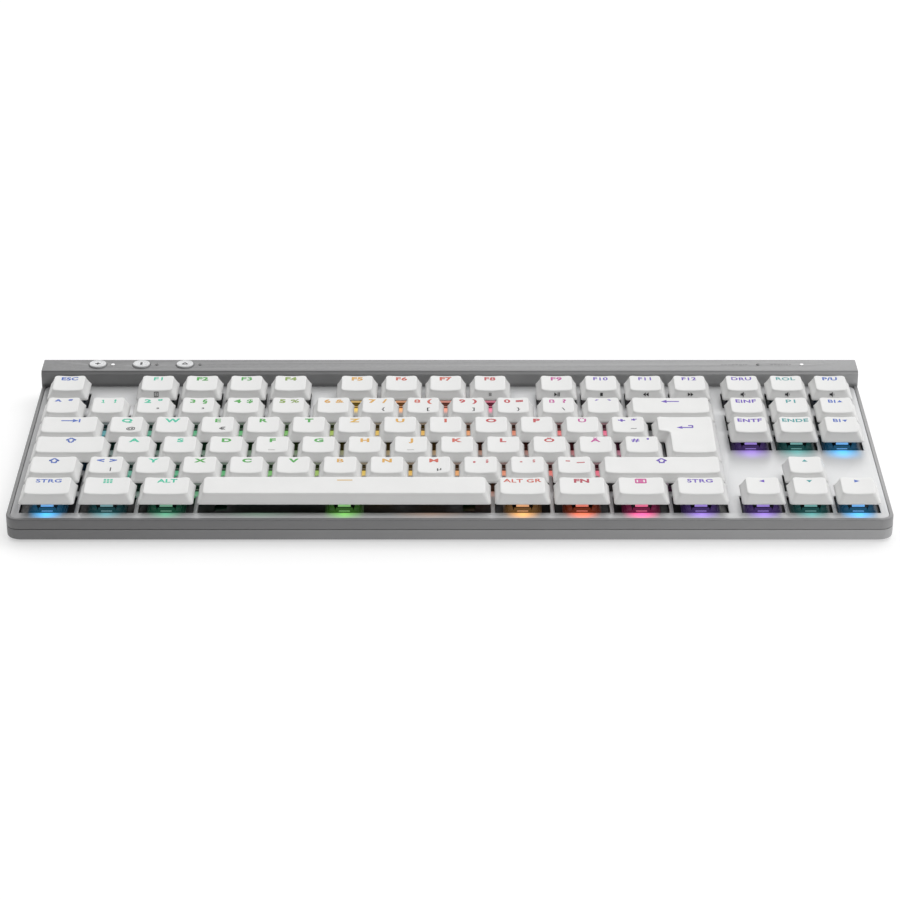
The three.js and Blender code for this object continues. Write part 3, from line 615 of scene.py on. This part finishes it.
def top_surface(half_w, half_d, dish, left=None):
    def surf(x, y):
        z = CAP_ZF + (y + half_d) / (2 * half_d) * (CAP_ZB - CAP_ZF)
        if dish:
            lo = -half_w if left is None else left(y)
            d = min(half_w - x, x - lo)          # distance from the nearer side edge
            q = max(0.0, min(1.0, d / 6.475))
            z -= dish * (1 - (1 - q) ** 2)
        return min(z, CAP_ZB)
    return surf


CAPS = {}


def rect_cap(w):
    if w not in CAPS:
        fw, fd = (w * U - (U - CAP_FOOT)) / 2, CAP_FOOT / 2
        cs = [(fw, -fd, -1, 1), (fw, fd, -1, -1), (-fw, fd, 1, -1), (-fw, -fd, 1, 1)]
        s = top_surface(fw - 2.3, CAP_TOP_D / 2, 0.0 if w > 4 else DISH)
        CAPS[w] = (cap_mesh("cap_%gu" % w, cs, (0.0, 0.0), s), s)
    return CAPS[w]


def enter_cap():
    r, l = (1.25 * U - 1.5) / 2, -0.125 * U - (1.5 * U - 1.5) / 2
    y1, y0 = (2 * U - 1.5) / 2, U / 2 - CAP_FOOT / 2
    cs = [(r, -y1, -1, 1), (r, y1, -1, -1), (l, y1, 1, -1), (l, y0, 1, 1), (-r, y0, 1, 1), (-r, -y1, 1, 1)]

    def left(y):
        t = max(0.0, min(1.0, (y - y0 + 0.5) / 5.0))
        t = t * t * (3 - 2 * t)
        return (-r + 2.3) * (1 - t) + (l + 2.3) * t
    s = top_surface(r - 2.3, y1 - 2.175, DISH, left)
    return cap_mesh("cap_enter", cs, (0.5, y0 + 8.2), s), s


def slider_mesh():
    """cross-shaped slider under each cap"""
    bm = bmesh.new()
    for sx, sy in ((6.6, 1.5), (1.5, 5.2)):
        m = Matrix.Translation((0, 0, 13.7 * MM)) @ Matrix.Diagonal((sx * MM, sy * MM, 6.6 * MM, 1))
        g = bmesh.ops.create_cube(bm, size=1.0, matrix=m)
    m = Matrix.Translation((0, 0, 14.8 * MM)) @ Matrix.Diagonal((5.6 * MM, 4.6 * MM, 4.4 * MM, 1))
    bmesh.ops.create_cube(bm, size=1.0, matrix=m)
    bmesh.ops.bevel(bm, geom=list(bm.edges), offset=0.12 * MM, segments=2, affect="EDGES")
    me = bpy.data.meshes.new("slider")
    bm.to_mesh(me)
    bm.free()
    me.materials.append(M_STEM)
    smooth(me, 30)
    return me


# ---------------------------------------------------------------- legends
def bars(*rects):
    """closed strokes: each (x0, y0, x1, y1, width) or polygon list"""
    polys = []
    for r in rects:
        if isinstance(r[0], (tuple, list)):
            polys.append([tuple(p) for p in r])
        else:
            x0, y0, x1, y1, w = r
            dx, dy = x1 - x0, y1 - y0
            L = math.hypot(dx, dy) or 1
            nx, ny = -dy / L * w / 2, dx / L * w / 2
            polys.append([(x0 + nx, y0 + ny), (x0 - nx, y0 - ny), (x1 - nx, y1 - ny), (x1 + nx, y1 + ny)])
    return polys


S = 0.58
SIGN = {
    "@arrowleft": bars((-1.6, 0, 3.2, 0, 0.5), [(-3.3, 0), (-1.1, -1.0), (-1.5, 0), (-1.1, 1.0)]),
    "@tab": bars((-3.2, 0, 1.2, 0, 0.5), [(3.0, 0), (0.8, -0.95), (1.1, 0), (0.8, 0.95)], (3.3, -0.95, 3.3, 0.95, S)),
    "@enter": bars((-1.6, -0.35, 2.4, -0.35, S), (2.4, -0.48, 2.4, 0.9, S), (2.53, 0.8, 0.9, 0.8, S),
                   [(-3.3, -0.35), (-1.1, -1.25), (-1.5, -0.35), (-1.1, 0.55)]),
    "@caps": bars((-1.7, 0.25, 0, 1.35, S), (0, 1.35, 1.7, 0.25, S), (-1.7, 0.25, -0.8, 0.25, S), (1.7, 0.25, 0.8, 0.25, S),
                  (-0.8, 0.25, -0.8, -0.5, S), (0.8, 0.25, 0.8, -0.5, S), (-0.93, -0.5, 0, -1.15, S), (0.93, -0.5, 0, -1.15, S)),
    "@shift": bars((-1.7, 0.0, 0, 1.25, S), (0, 1.25, 1.7, 0.0, S), (-1.7, 0.0, -0.8, 0.0, S), (1.7, 0.0, 0.8, 0.0, S),
                   (-0.8, 0.0, -0.8, -1.0, S), (0.8, 0.0, 0.8, -1.0, S), (-0.93, -1.0, 0.93, -1.0, S)),
    "@one": bars((0.1, -0.88, 0.1, 0.88, 0.44), (-0.5, 0.5, 0.15, 0.88, 0.3), (-0.5, -0.8, 0.7, -0.8, 0.24)),
    "@up": bars([(-1.0, -0.5), (1.0, -0.5), (0, 0.75)]),
    "@down": bars([(-1.0, 0.5), (0, -0.75), (1.0, 0.5)]),
    "@left": bars([(-1.0, 0), (0.8, -0.75), (0.8, 0.75)]),
    "@right": bars([(1.0, 0), (-0.8, 0.75), (-0.8, -0.75)]),
    "@dash": bars((-2.6, 0, 2.6, 0, 0.42)),
    "@menu": bars((-1.7, -0.95, 1.7, -0.95, S), (-1.7, 0.95, 1.7, 0.95, S), (-1.7, -1.08, -1.7, 1.08, S), (1.7, -1.08, 1.7, 1.08, S),
                  (-0.9, 0.35, 0.9, 0.35, S), (-0.9, -0.35, 0.9, -0.35, S)),
    # plain generic sign: nine small blocks
    "@system": bars(*[(x - 0.42, y, x + 0.42, y, 0.56) for x in (-1.1, 0.0, 1.1) for y in (-0.8, 0.0, 0.8)]),
    "@panel": bars((-0.9, -0.8, 0.9, -0.8, 0.22), (-0.9, 0.8, 0.9, 0.8, 0.22), (-0.9, -0.9, -0.9, 0.9, 0.22),
                   (0.9, -0.9, 0.9, 0.9, 0.22), (-0.4, 0.25, 0.4, 0.25, 0.2), (-0.4, -0.25, 0.4, -0.25, 0.2)),
    "@bars": bars((-0.6, 0.4, 0.6, 0.4, 0.16), (-0.6, 0, 0.6, 0, 0.16), (-0.6, -0.4, 0.6, -0.4, 0.16)),
    "@stop": bars([(-0.6, -0.6), (0.6, -0.6), (0.6, 0.6), (-0.6, 0.6)]),
    "@back": bars([(-1.3, 0), (-0.1, -0.7), (-0.1, 0.7)], [(0.0, 0), (1.2, -0.7), (1.2, 0.7)]),
    "@forward": bars([(1.3, 0), (0.1, 0.7), (0.1, -0.7)], [(0.0, 0), (-1.2, 0.7), (-1.2, -0.7)]),
    "@playpause": bars([(0.1, 0), (-1.2, 0.7), (-1.2, -0.7)], (0.5, -0.7, 0.5, 0.7, 0.3), (1.1, -0.7, 1.1, 0.7, 0.3)),
    "@mute": bars([(-1.2, -0.35), (-0.5, -0.35), (0.25, -0.9), (0.25, 0.9), (-0.5, 0.35), (-1.2, 0.35)],
                  (0.75, -0.3, 0.75, 0.3, 0.2)),
}
_text_cache = {}


def text_verts(text, size, wide, weight, thick):
    """closed, flat solid letters as (verts, faces) in mm, centred"""
    key = (text, size, wide, weight)
    if key in _text_cache:
        return _text_cache[key]
    cu = bpy.data.curves.new("t", "FONT")
    cu.body, cu.size, cu.extrude, cu.offset = text, size, thick, weight
    cu.align_x, cu.align_y = "CENTER", "CENTER"
    cu.resolution_u, cu.space_character = 3, 1.06
    ob = bpy.data.objects.new("t", cu)
    scene.collection.objects.link(ob)
    bpy.context.view_layer.update()
    me = bpy.data.meshes.new_from_object(ob.evaluated_get(bpy.context.evaluated_depsgraph_get()))
    bm = bmesh.new()
    bm.from_mesh(me)
    bmesh.ops.remove_doubles(bm, verts=bm.verts, dist=1e-5)
    vs = [(v.co.x * wide, v.co.y, v.co.z) for v in bm.verts]
    fs = [[v.index for v in f.verts] for f in bm.faces]
    bm.free()
    bpy.data.objects.remove(ob)
    bpy.data.curves.remove(cu)
    bpy.data.meshes.remove(me)
    if vs:
        xs, ys = [v[0] for v in vs], [v[1] for v in vs]
        cx = (min(xs) + max(xs)) / 2
        cy = (min(ys) + max(ys)) / 2 if text in "^°\"'´`,._-~*²³" and False else 0
        vs = [(x - cx, y - cy, z) for x, y, z in vs]
    _text_cache[key] = (vs, fs)
    return _text_cache[key]


def sign_verts(polys, k, thick):
    vs, fs = [], []
    for p in polys:
        area = sum(p[i][0] * p[(i + 1) % len(p)][1] - p[(i + 1) % len(p)][0] * p[i][1] for i in range(len(p)))
        if area < 0:
            p = p[::-1]
        n, b = len(p), len(vs)
        vs += [(x * k, y * k, thick) for x, y in p] + [(x * k, y * k, -thick) for x, y in p]
        fs.append([b + i for i in range(n)])
        fs.append([b + n + i for i in range(n)][::-1])
        fs += [[b + i, b + n + i, b + n + (i + 1) % n, b + (i + 1) % n] for i in range(n)]
    return vs, fs


SIGN_Y = 1.5
WORD_H = 3.75


def legend_parts(text, size, wide=1.14, weight=0.135, thick=0.03):
    if text.startswith("@") and text in SIGN:
        vs, fs = sign_verts(SIGN[text], size / WORD_H * 1.18, thick)
        return [(x, y * SIGN_Y / 1.18, z) for x, y, z in vs], fs
    if "@" in text and len(text) > 1:
        word, sign = text.split("@")
        wv, wf = text_verts(word, size, wide, weight, thick)
        sv, sf = sign_verts(SIGN["@" + sign], size / WORD_H * 1.1, thick)
        sv = [(x, y * SIGN_Y / 1.1, z) for x, y, z in sv]
        right = max(v[0] for v in wv)
        vs = [(x - 1.6, y, z) for x, y, z in wv] + [(x + right + 0.2, y, z) for x, y, z in sv]
        return vs, list(wf) + [[i + len(wv) for i in f] for f in sf]
    return text_verts(text, size, wide, weight, thick)


def legend_mesh(name, legends, w, surf, half_d, back_y):
    """all coloured legends of one key in one mesh, all dark ones in another"""
    out = []
    for dark in (False, True):
        vs, fs, cols = [], [], []
        for text, place, colour, size in legends:
            if (colour == D) != dark:
                continue
            h = WORD_H * size
            if place == "front":
                pv, pf = legend_parts(text, 3.0, 1.1, 0.05)
                # wrapped on the sloping front flank
                fz = CAP_Z0 + 2.35
                for x, y, z in pv:
                    s = (fz + y * 0.9 - CAP_Z0) / (CAP_ZF - CAP_Z0)
                    yy = -CAP_FOOT / 2 + s * 0.92 * (CAP_FOOT - CAP_TOP_D) / 2 + 0.10 * math.sin(math.pi * min(1, s)) - 0.03 - z * 0.8
                    vs.append((x, yy, fz + y * 0.9))
                    cols.append(colour)
                fs += [[i + len(vs) - len(pv) for i in f] for f in pf]
                continue
            dx, dy = 0.0, back_y
            if place == "left":
                dx = -2.5
            elif place == "right":
                dx = 2.7
            elif place == "enter":
                dx = -2.2
            elif place == "low":
                dx, dy, h = 2.2, back_y - 6.9, 3.0
            if text[0] != "@" and len(text) < 3:
                h *= 1.08
            heavy = 0.05 if place == "low" else 0.19 if len(text) < 3 else 0.14
            if text in ("EINF", "ENTF", "ENDE", "E"):
                heavy = 0.115
            if any(ch in "§&%#8963$@ß?*0!1ÜÖÄMRB" for ch in text):
                heavy = min(heavy, 0.085 if text in ("M", "B", "8") else 0.125 if text in ("1", "!", "?", "F8", "R", "Ö", "Ä", "0", "9", "3", "6", "F6", "F9", "F3")
                            else 0.085)
            if text == "ß":
                heavy = 0.06
            pv, pf = legend_parts(text, h, wide=1.34 if len(text) == 1 else 1.24 if len(text) == 2 else 1.13, weight=heavy)
            b = len(vs)
            for x, y, z in pv:
                X, Y = x + dx, y + dy
                vs.append((X, Y, surf(X, Y) + 0.005 + z * 0.8))
                cols.append(colour)
            fs += [[i + b for i in f] for f in pf]
        if not vs:
            continue
        me = mesh_from(name + ("_dark" if dark else ""), vs, fs, M_INK if dark else M_LEGEND)
        for p in me.polygons:
            p.use_smooth = False
        if not dark:
            a = me.color_attributes.new("tint", "FLOAT_COLOR", "POINT")
            for i, c in enumerate(cols):
                a.data[i].color = c
        out.append(me)
    return out


# ---------------------------------------------------------------- build all keys
SLIDER = slider_mesh()
counts = {}


def place_key(body, cx, cy, me, surf, legends, w, back_y, half_d):
    counts[body] = counts.get(body, 0) + 1
    tag = body if counts[body] == 1 and not body.startswith("key_bank") else "%s_%02d" % (body, counts[body])
    cap = link(bpy.data.objects.new("cap_" + tag, me))
    cap.location = (cx * MM, cy * MM, 0)
    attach(cap, body)
    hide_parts(body)
    st = link(bpy.data.objects.new("slider_" + tag, SLIDER))
    st.location = cap.location
    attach(st, body)
    for lm in legend_mesh("legend_" + tag, legends, w, surf, half_d, back_y):
        o = link(bpy.data.objects.new(lm.name, lm))
        o.location = (cx * MM, cy * MM, 0)
        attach(o, body)


CENTRES = []
for row, x, w, body, legends in KEYS:
    cx, cy = KEY_X0 + (x + w / 2) * U, ROW_Y[row]
    CENTRES.append((cx, cy, w, row))
    me, surf = rect_cap(w)
    place_key(body, cx, cy, me, surf, legends, w, 3.8 if row in (0, 5) else 3.35, CAP_TOP_D / 2)
em, es = enter_cap()
CENTRES.append((ENTER_C[0], ENTER_C[1], 1.25, 23))
place_key("key_enter", ENTER_C[0], ENTER_C[1], em, es, [("@enter", "enter", VIOLET, 1.0)], 1.5, 6.9, 16.1)

# homing bars on F and J
for i in (3, 6):
    cx, cy = KEY_X0 + (1.75 + i + 0.5) * U, ROW_Y[2]
    s = rect_cap(1)[1]
    vs, fs = [], []
    n = 10
    for k in range(n + 1):
        x = -1.6 + 3.2 * k / n
        e = min(1.0, (1.6 - abs(x)) / 0.25)
        for a in range(9):
            t = math.pi * a / 8
            y = -4.5 - 0.28 * math.cos(t) * e
            vs.append((x, y, s(x, y) + 0.24 * math.sin(t) * e - 0.02))
    for k in range(n):
        for a in range(8):
            p = k * 9 + a
            fs.append((p, p + 1, p + 10, p + 9))
        fs.append((k * 9 + 8, k * 9, k * 9 + 9, k * 9 + 17))
    fs.append(list(range(9))[::-1])
    fs.append([n * 9 + a for a in range(9)])
    o = link(bpy.data.objects.new("homing_bar_%d" % i, mesh_from("homing_bar", vs, fs, M_CAP, 60)))
    o.location = (cx * MM, cy * MM, 0)
    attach(o, "key_bank_home_letters")


# ---------------------------------------------------------------- switch housings and lenses
def add_box(bm, x0, x1, y0, y1, z0, z1, taper=0.0, tz=0.0):
    vs = []
    for z, t in ((z0, 0.0), (z1, taper)):
        for x, y in ((x0 + t, y0 + t), (x1 - t, y0 + t), (x1 - t, y1 - t), (x0 + t, y1 - t)):
            vs.append(bm.verts.new((x * MM, y * MM, z * MM)))
    f = [(0, 3, 2, 1), (4, 5, 6, 7), (0, 1, 5, 4), (1, 2, 6, 5), (2, 3, 7, 6), (3, 0, 4, 7)]
    return [bm.faces.new([vs[i] for i in q]) for q in f]


def bevelled(name, boxes, mat, width, seg=2, angle=30):
    bm = bmesh.new()
    for b in boxes:
        add_box(bm, *b)
    bmesh.ops.bevel(bm, geom=list(bm.edges), offset=width * MM, segments=seg, affect="EDGES", clamp_overlap=True)
    bmesh.ops.recalc_face_normals(bm, faces=bm.faces)
    me = bpy.data.meshes.new(name)
    bm.to_mesh(me)
    bm.free()
    if mat:
        me.materials.append(mat)
    smooth(me, angle)
    return me


# one housing: flange, tapered cover, slider tower walls, side clips, lens frame
H_BOXES = [(-7.7, -3.5, -7.1, 7.1, 8.15, 9.45), (3.5, 7.7, -7.1, 7.1, 8.15, 9.45),
           (-3.7, 3.7, -7.1, -2.9, 8.15, 9.45), (-3.7, 3.7, 2.9, 7.1, 8.15, 9.45),
           (-7.0, -3.5, -6.2, 6.2, 9.3, 10.0, 0.3), (3.5, 7.0, -6.2, 6.2, 9.3, 10.0, 0.3),
           (-3.9, 3.9, -6.2, -2.9, 9.3, 10.0, 0.3), (-3.9, 3.9, 2.9, 6.2, 9.3, 10.0, 0.3),
           (-6.2, -3.75, -5.3, 5.2, 9.6, 13.2, 0.55), (3.75, 6.2, -5.3, 5.2, 9.6, 13.2, 0.55),
           (-6.0, 6.0, 3.2, 5.2, 9.6, 13.2, 0.45), (-6.0, 6.0, -4.6, -3.2, 9.6, 13.2, 0.4),
           (-5.9, -3.7, -6.6, -4.9, 9.7, 11.5, 0.3), (3.7, 5.9, -6.6, -4.9, 9.7, 11.5, 0.3),
           (-3.5, 3.5, -6.0, -5.0, 10.15, 11.05, 0.1),
           (-6.9, -6.1, -1.2, 1.2, 9.7, 11.4, 0.15), (6.1, 6.9, -1.2, 1.2, 9.7, 11.4, 0.15)]
housing = bevelled("housing", H_BOXES, None, 0.16, 2)
LENS = [(-2.6, 2.6, -5.55, -4.7, 11.45, 12.2, 0.12), (-2.3, 2.3, -6.3, -5.75, 9.7, 9.95, 0.06)]


def join_copies(name, mesh, places, mats, tints=False, fade=None):
    bm = bmesh.new()
    lay = bm.verts.layers.float_color.new("tint") if tints else None
    for px, py in places:
        n0 = len(bm.verts)
        bm.from_mesh(mesh)
        bm.verts.ensure_lookup_table()
        c, share = light_colour(px, py)
        for v in bm.verts[n0:]:
            v.co.x += px * MM
            v.co.y += py * MM
            if lay:
                k = share
                if fade:
                    k *= math.exp(-((v.co.x / MM - px) / fade[0]) ** 2 - ((v.co.y / MM - py - fade[2]) / fade[1]) ** 2)
                v[lay] = tuple(q * k for q in c[:3]) + (1.0,)
    me = bpy.data.meshes.new(name)
    bm.to_mesh(me)
    bm.free()
    for m in mats:
        me.materials.append(m)
    smooth(me, 30)
    return me


places = [(c[0], c[1]) for c in CENTRES]
hs = link(bpy.data.objects.new("switch_housings", join_copies("switch_housings", housing, places, [M_HOUSE], True, (7.0, 5.0, -6.0))))
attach(hs, "base")
lens = bevelled("lens", LENS, None, 0.1, 2)
ls = link(bpy.data.objects.new("switch_lenses", join_copies("switch_lenses", lens, places, [M_LENS], True)))
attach(ls, "base")


# ---------------------------------------------------------------- finer versions of CAD pieces
def refine(node, mat, bevel=0.25, seg=3, angle=28, body="base", name=None, extra=None):
    """a bevelled, smooth-shaded piece made from the CAD solid, standing for it"""
    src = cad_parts[node]
    me = src.data.copy()
    me.materials.clear()
    me.transform(src.matrix_world)
    bm = bmesh.new()
    bm.from_mesh(me)
    bmesh.ops.remove_doubles(bm, verts=bm.verts, dist=2e-6)
    bmesh.ops.dissolve_limit(bm, angle_limit=math.radians(1.0), verts=bm.verts, edges=bm.edges)
    bm.to_mesh(me)
    bm.free()
    ob = link(bpy.data.objects.new(name or ("fine_" + node), me))
    if bevel:
        md = ob.modifiers.new("bevel", "BEVEL")
        md.width, md.segments, md.limit_method = bevel * MM, seg, "ANGLE"
        md.angle_limit = math.radians(angle)
        md.use_clamp_overlap = True
        md.harden_normals = False
        bpy.context.view_layer.update()
        new = bpy.data.meshes.new_from_object(ob.evaluated_get(bpy.context.evaluated_depsgraph_get()))
        ob.modifiers.clear()
        old = ob.data
        ob.data = new
        bpy.data.meshes.remove(old)
    ob.data.name = ob.name
    ob.data.materials.clear()
    ob.data.materials.append(mat)
    smooth(ob.data, 32)
    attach(ob, body)
    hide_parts(node)
    return ob


refine("switch_bank", M_PLATE, 0, name="switch_plate")
refine("bottom_case", M_LOWER, 0.35, 3)
refine("upper_frame", M_FRAME, 0.18, 3)
bar = refine("rear_bar", M_FRAME, 0.3, 3)
for v in bar.data.vertices:  # the front wall stands close against the deck
    if v.co.y < 58.7 * MM:
        v.co.y -= 0.45 * MM
deck = refine("deck_plate", M_DECK, 0.22, 2)
for v in deck.data.vertices:  # the sheet fills its seat closely
    v.co.x *= 1.0012
    v.co.y = v.co.y * 1.0012
refine("rear_panel", M_FRAME, 0.25, 3)
refine("io_panel", M_LOWER, 0.2, 3)
refine("usb_c_receptacle", M_STEEL, 0.08, 2)
refine("power_slider", M_BLACK, 0.2, 3, body="power_slider")
refine("main_pcb", M_PCB, 0.15, 2)
refine("damping_pad", M_FOAM, 0.2, 2)
refine("battery", M_CELL, 0.3, 2)
for s in ("left", "right"):
    refine("tilt_foot_" + s, M_LOWER, 0.25, 3, body="tilt_foot_" + s)
    refine("light_guide_" + s, M_CLEAR, 0.1, 2)
    refine("pad_front_" + s, M_RUBBER, 0.35, 3)
    refine("pad_rear_" + s, M_RUBBER, 0.35, 3)
for n in ("space", "backspace", "shift_right", "enter"):
    refine("stabiliser_" + n, M_WIRE, 0.15, 2, body="stabiliser_" + n)


# ---------------------------------------------------------------- round buttons
def lathe(name, prof, mat, n=64, angle=35):
    vs, fs = [], []
    m = len(prof)
    for i in range(n):
        a = 2 * math.pi * i / n
        vs += [(r * math.cos(a), r * math.sin(a), z) for r, z in prof]
    for i in range(n):
        for k in range(m - 1):
            a, b = i * m + k, ((i + 1) % n) * m + k
            fs.append((a, b, b + 1, a + 1))
    vs.append((0, 0, prof[0][1]))
    vs.append((0, 0, prof[-1][1]))
    c0, c1 = len(vs) - 2, len(vs) - 1
    for i in range(n):
        j = (i + 1) % n
        fs.append((j * m, i * m, c0))
        fs.append((i * m + m - 1, j * m + m - 1, c1))
    return mesh_from(name, vs, fs, mat, angle)


prof = [(4.3, 13.4), (4.3, 14.6), (3.8, 14.6), (3.8, 16.9), (3.77, 17.12), (3.68, 17.3), (3.52, 17.44), (3.3, 17.52),
        (3.05, 17.55), (2.85, 17.52), (2.7, 17.45), (2.5, 17.4), (1.4, 17.35), (0.5, 17.32)]
btn = lathe("mode_button", prof, M_BUTTON)
ICON = [bars((-1.0, 0, 1.0, 0, 0.42), (0, -0.9, 0, 0.9, 0.42)), bars([(-0.42, -1.15), (0.42, -1.15), (0.42, 1.15), (-0.42, 1.15)]),
        bars((-1.05, -0.6, 1.05, -0.6, 0.4), (-1.05, -0.6, 0, 0.85, 0.4), (1.05, -0.6, 0, 0.85, 0.4))]
ring_prof = [(4.12, BAR_Z - 1.2), (4.12, BAR_Z - 0.05), (3.95, BAR_Z - 0.02), (3.86, BAR_Z - 0.12), (3.86, BAR_Z - 1.2)]
for i, x in enumerate(BUTTON_X):
    body = "mode_button_%d" % (i + 1)
    o = link(bpy.data.objects.new("round_button_%d" % (i + 1), btn))
    o.location = (x * MM, BUTTON_Y * MM, 0)
    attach(o, body)
    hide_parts(body)
    vs, fs = sign_verts(ICON[i], 1.15, 0.03)
    vs = [(a, b, 17.37 + c) for a, b, c in vs]
    s = link(bpy.data.objects.new("button_sign_%d" % (i + 1), mesh_from("button_sign", vs, fs, M_INK)))
    for p in s.data.polygons:
        p.use_smooth = False
    s.location = o.location
    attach(s, body)
    rv, rf = [], []
    n = 64
    for k in range(n):
        a = 2 * math.pi * k / n
        rv += [(r * math.cos(a), r * math.sin(a), z) for r, z in ring_prof]
    m = len(ring_prof)
    for k in range(n):
        for q in range(m):
            a, b = k * m + q, ((k + 1) % n) * m + q
            a2, b2 = k * m + (q + 1) % m, ((k + 1) % n) * m + (q + 1) % m
            rf.append((a, b, b2, a2))
    r = link(bpy.data.objects.new("button_ring_%d" % (i + 1), mesh_from("button_ring", rv, rf, M_BLACK, 40)))
    r.location = (x * MM, BUTTON_Y * MM, 0)
    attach(r, "base")

# ---------------------------------------------------------------- status lights on the bar
for i, x in enumerate(LED_LEFT + LED_RIGHT):
    lit = i in (0, 4)
    pr = ([(0.84, BAR_Z - 0.6), (0.84, BAR_Z + 0.1), (0.8, BAR_Z + 0.19), (0.62, BAR_Z + 0.24), (0.3, BAR_Z + 0.26)] if lit
          else [(0.62, BAR_Z - 0.6), (0.62, BAR_Z - 0.04), (0.58, BAR_Z + 0.03), (0.42, BAR_Z + 0.08), (0.2, BAR_Z + 0.1)])
    me = lathe("status_%d" % i, pr, M_LED if lit else M_WELL, 24)
    if lit:
        tint(me, srgb(232, 232, 232))
    o = link(bpy.data.objects.new("status_light_%d" % (i + 1), me))
    o.location = (x * MM, BUTTON_Y * MM, 0)
    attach(o, "base")
    rv, rf = [], []
    for k in range(32):
        a = 2 * math.pi * k / 32
        rv += [(r * math.cos(a), r * math.sin(a), z) for r, z in
               ((0.9, BAR_Z - 0.8), (0.9, BAR_Z - 0.03), (0.86, BAR_Z), (0.7, BAR_Z), (0.64, BAR_Z - 0.05), (0.64, BAR_Z - 0.8))]
    for k in range(32):
        for q in range(6):
            rf.append((k * 6 + q, (k + 1) % 32 * 6 + q, (k + 1) % 32 * 6 + (q + 1) % 6, k * 6 + (q + 1) % 6))
    c = link(bpy.data.objects.new("status_collar_%d" % (i + 1), mesh_from("status_collar", rv, rf, M_FRAME, 40)))
    c.location = o.location
    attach(c, "base")
# plain strokes where the small markings sit
for i, (x0, x1) in enumerate(((118.5, 131.0), (140.0, 149.5))):
    rects = []
    rnd = random.Random(5 + i)
    x = x0
    while x < x1 - 0.8:
        w = rnd.uniform(0.5, 1.3)
        rects.append((x, 0, min(x + w, x1), 0, 0.42))
        x += w + 0.45
    vs, fs = sign_verts(bars(*rects), 1.0, 0.02)
    vs = [(a, b + BUTTON_Y - 0.1, BAR_Z + 0.003 + c) for a, b, c in vs]
    o = link(bpy.data.objects.new("bar_marks_%d" % (i + 1), mesh_from("bar_marks", vs, fs, M_MARK)))
    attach(o, "base")

# ---------------------------------------------------------------- floor, light
floor_mat = Mat("floor_white", (0.6, 0.6, 0.6, 1), 0.9, spec=0.1).tone(2.0, 0.004)
floor_mat.b.inputs["Emission Color"].default_value = (1, 1, 1, 1)
floor_mat.b.inputs["Emission Strength"].default_value = 0.46
fm = floor_mat.m
bm = bmesh.new()
bmesh.ops.create_grid(bm, x_segments=2, y_segments=2, size=6.0)
me = bpy.data.meshes.new("floor")
bm.to_mesh(me)
bm.free()
me.materials.append(fm)
floor = link(bpy.data.objects.new("floor", me))
floor.location = (0, 0, -0.0002)

world = bpy.data.worlds.new("studio")
scene.world = world
world.use_nodes = True
wn, wl = world.node_tree.nodes, world.node_tree.links
bg = wn["Background"]
tc = wn.new("ShaderNodeTexCoord")
sep = wn.new("ShaderNodeSeparateXYZ")
wl.new(tc.outputs["Generated"], sep.inputs[0])
up = wn.new("ShaderNodeMapRange")
up.inputs["From Min"].default_value, up.inputs["From Max"].default_value = 0.0, 0.85
up.inputs["To Min"].default_value, up.inputs["To Max"].default_value = 0.05, 1.14
wl.new(sep.outputs["Z"], up.inputs["Value"])
side = wn.new("ShaderNodeMapRange")
side.inputs["From Min"].default_value, side.inputs["From Max"].default_value = -1.0, 1.0
side.inputs["To Min"].default_value, side.inputs["To Max"].default_value = 0.66, 1.36
wl.new(sep.outputs["X"], side.inputs["Value"])
mul = wn.new("ShaderNodeMath")
mul.operation = "MULTIPLY"
wl.new(up.outputs["Result"], mul.inputs[0])
wl.new(side.outputs["Result"], mul.inputs[1])
front = wn.new("ShaderNodeMapRange")
front.interpolation_type = "SMOOTHSTEP"
front.inputs["From Min"].default_value, front.inputs["From Max"].default_value = -0.95, 0.12
front.inputs["To Min"].default_value, front.inputs["To Max"].default_value = 0.15, 1.0
wl.new(sep.outputs["Y"], front.inputs["Value"])
mul2 = wn.new("ShaderNodeMath")
mul2.operation = "MULTIPLY"
wl.new(mul.outputs[0], mul2.inputs[0])
wl.new(front.outputs["Result"], mul2.inputs[1])
# soft panel behind, low over the horizon, for the sheen of the top faces
rear = wn.new("ShaderNodeMapRange")
rear.interpolation_type = "SMOOTHSTEP"
rear.inputs["From Min"].default_value, rear.inputs["From Max"].default_value = 0.35, 0.85
rear.inputs["To Min"].default_value, rear.inputs["To Max"].default_value = 0.0, 1.35
wl.new(sep.outputs["Y"], rear.inputs["Value"])
low = wn.new("ShaderNodeMapRange")
low.interpolation_type = "SMOOTHSTEP"
low.inputs["From Min"].default_value, low.inputs["From Max"].default_value = 0.08, 0.3
wl.new(sep.outputs["Z"], low.inputs["Value"])
panel = wn.new("ShaderNodeMath")
panel.operation = "MULTIPLY"
wl.new(rear.outputs["Result"], panel.inputs[0])
wl.new(low.outputs["Result"], panel.inputs[1])
total_light = wn.new("ShaderNodeMath")
total_light.operation = "ADD"
wl.new(mul2.outputs[0], total_light.inputs[0])
wl.new(panel.outputs[0], total_light.inputs[1])
wl.new(total_light.outputs[0], bg.inputs["Strength"])
bg.inputs["Color"].default_value = (1, 1, 1, 1)


def area(name, loc, aim, size, power):
    d = bpy.data.lights.new(name, "AREA")
    d.shape, d.size, d.energy = "DISK", size, power
    o = bpy.data.objects.new(name, d)
    scene.collection.objects.link(o)
    o.location = loc
    o.rotation_euler = (Vector(aim) - Vector(loc)).to_track_quat("-Z", "Y").to_euler()
    return o


area("key_light", (0.9, 0.5, 1.3), (0, 0, 0), 0.9, 3.0)
area("side_light", (0.62, -0.62, 0.30), (0.15, -0.07, 0.01), 0.35, 1.0)
scene.view_settings.view_transform = "Standard"
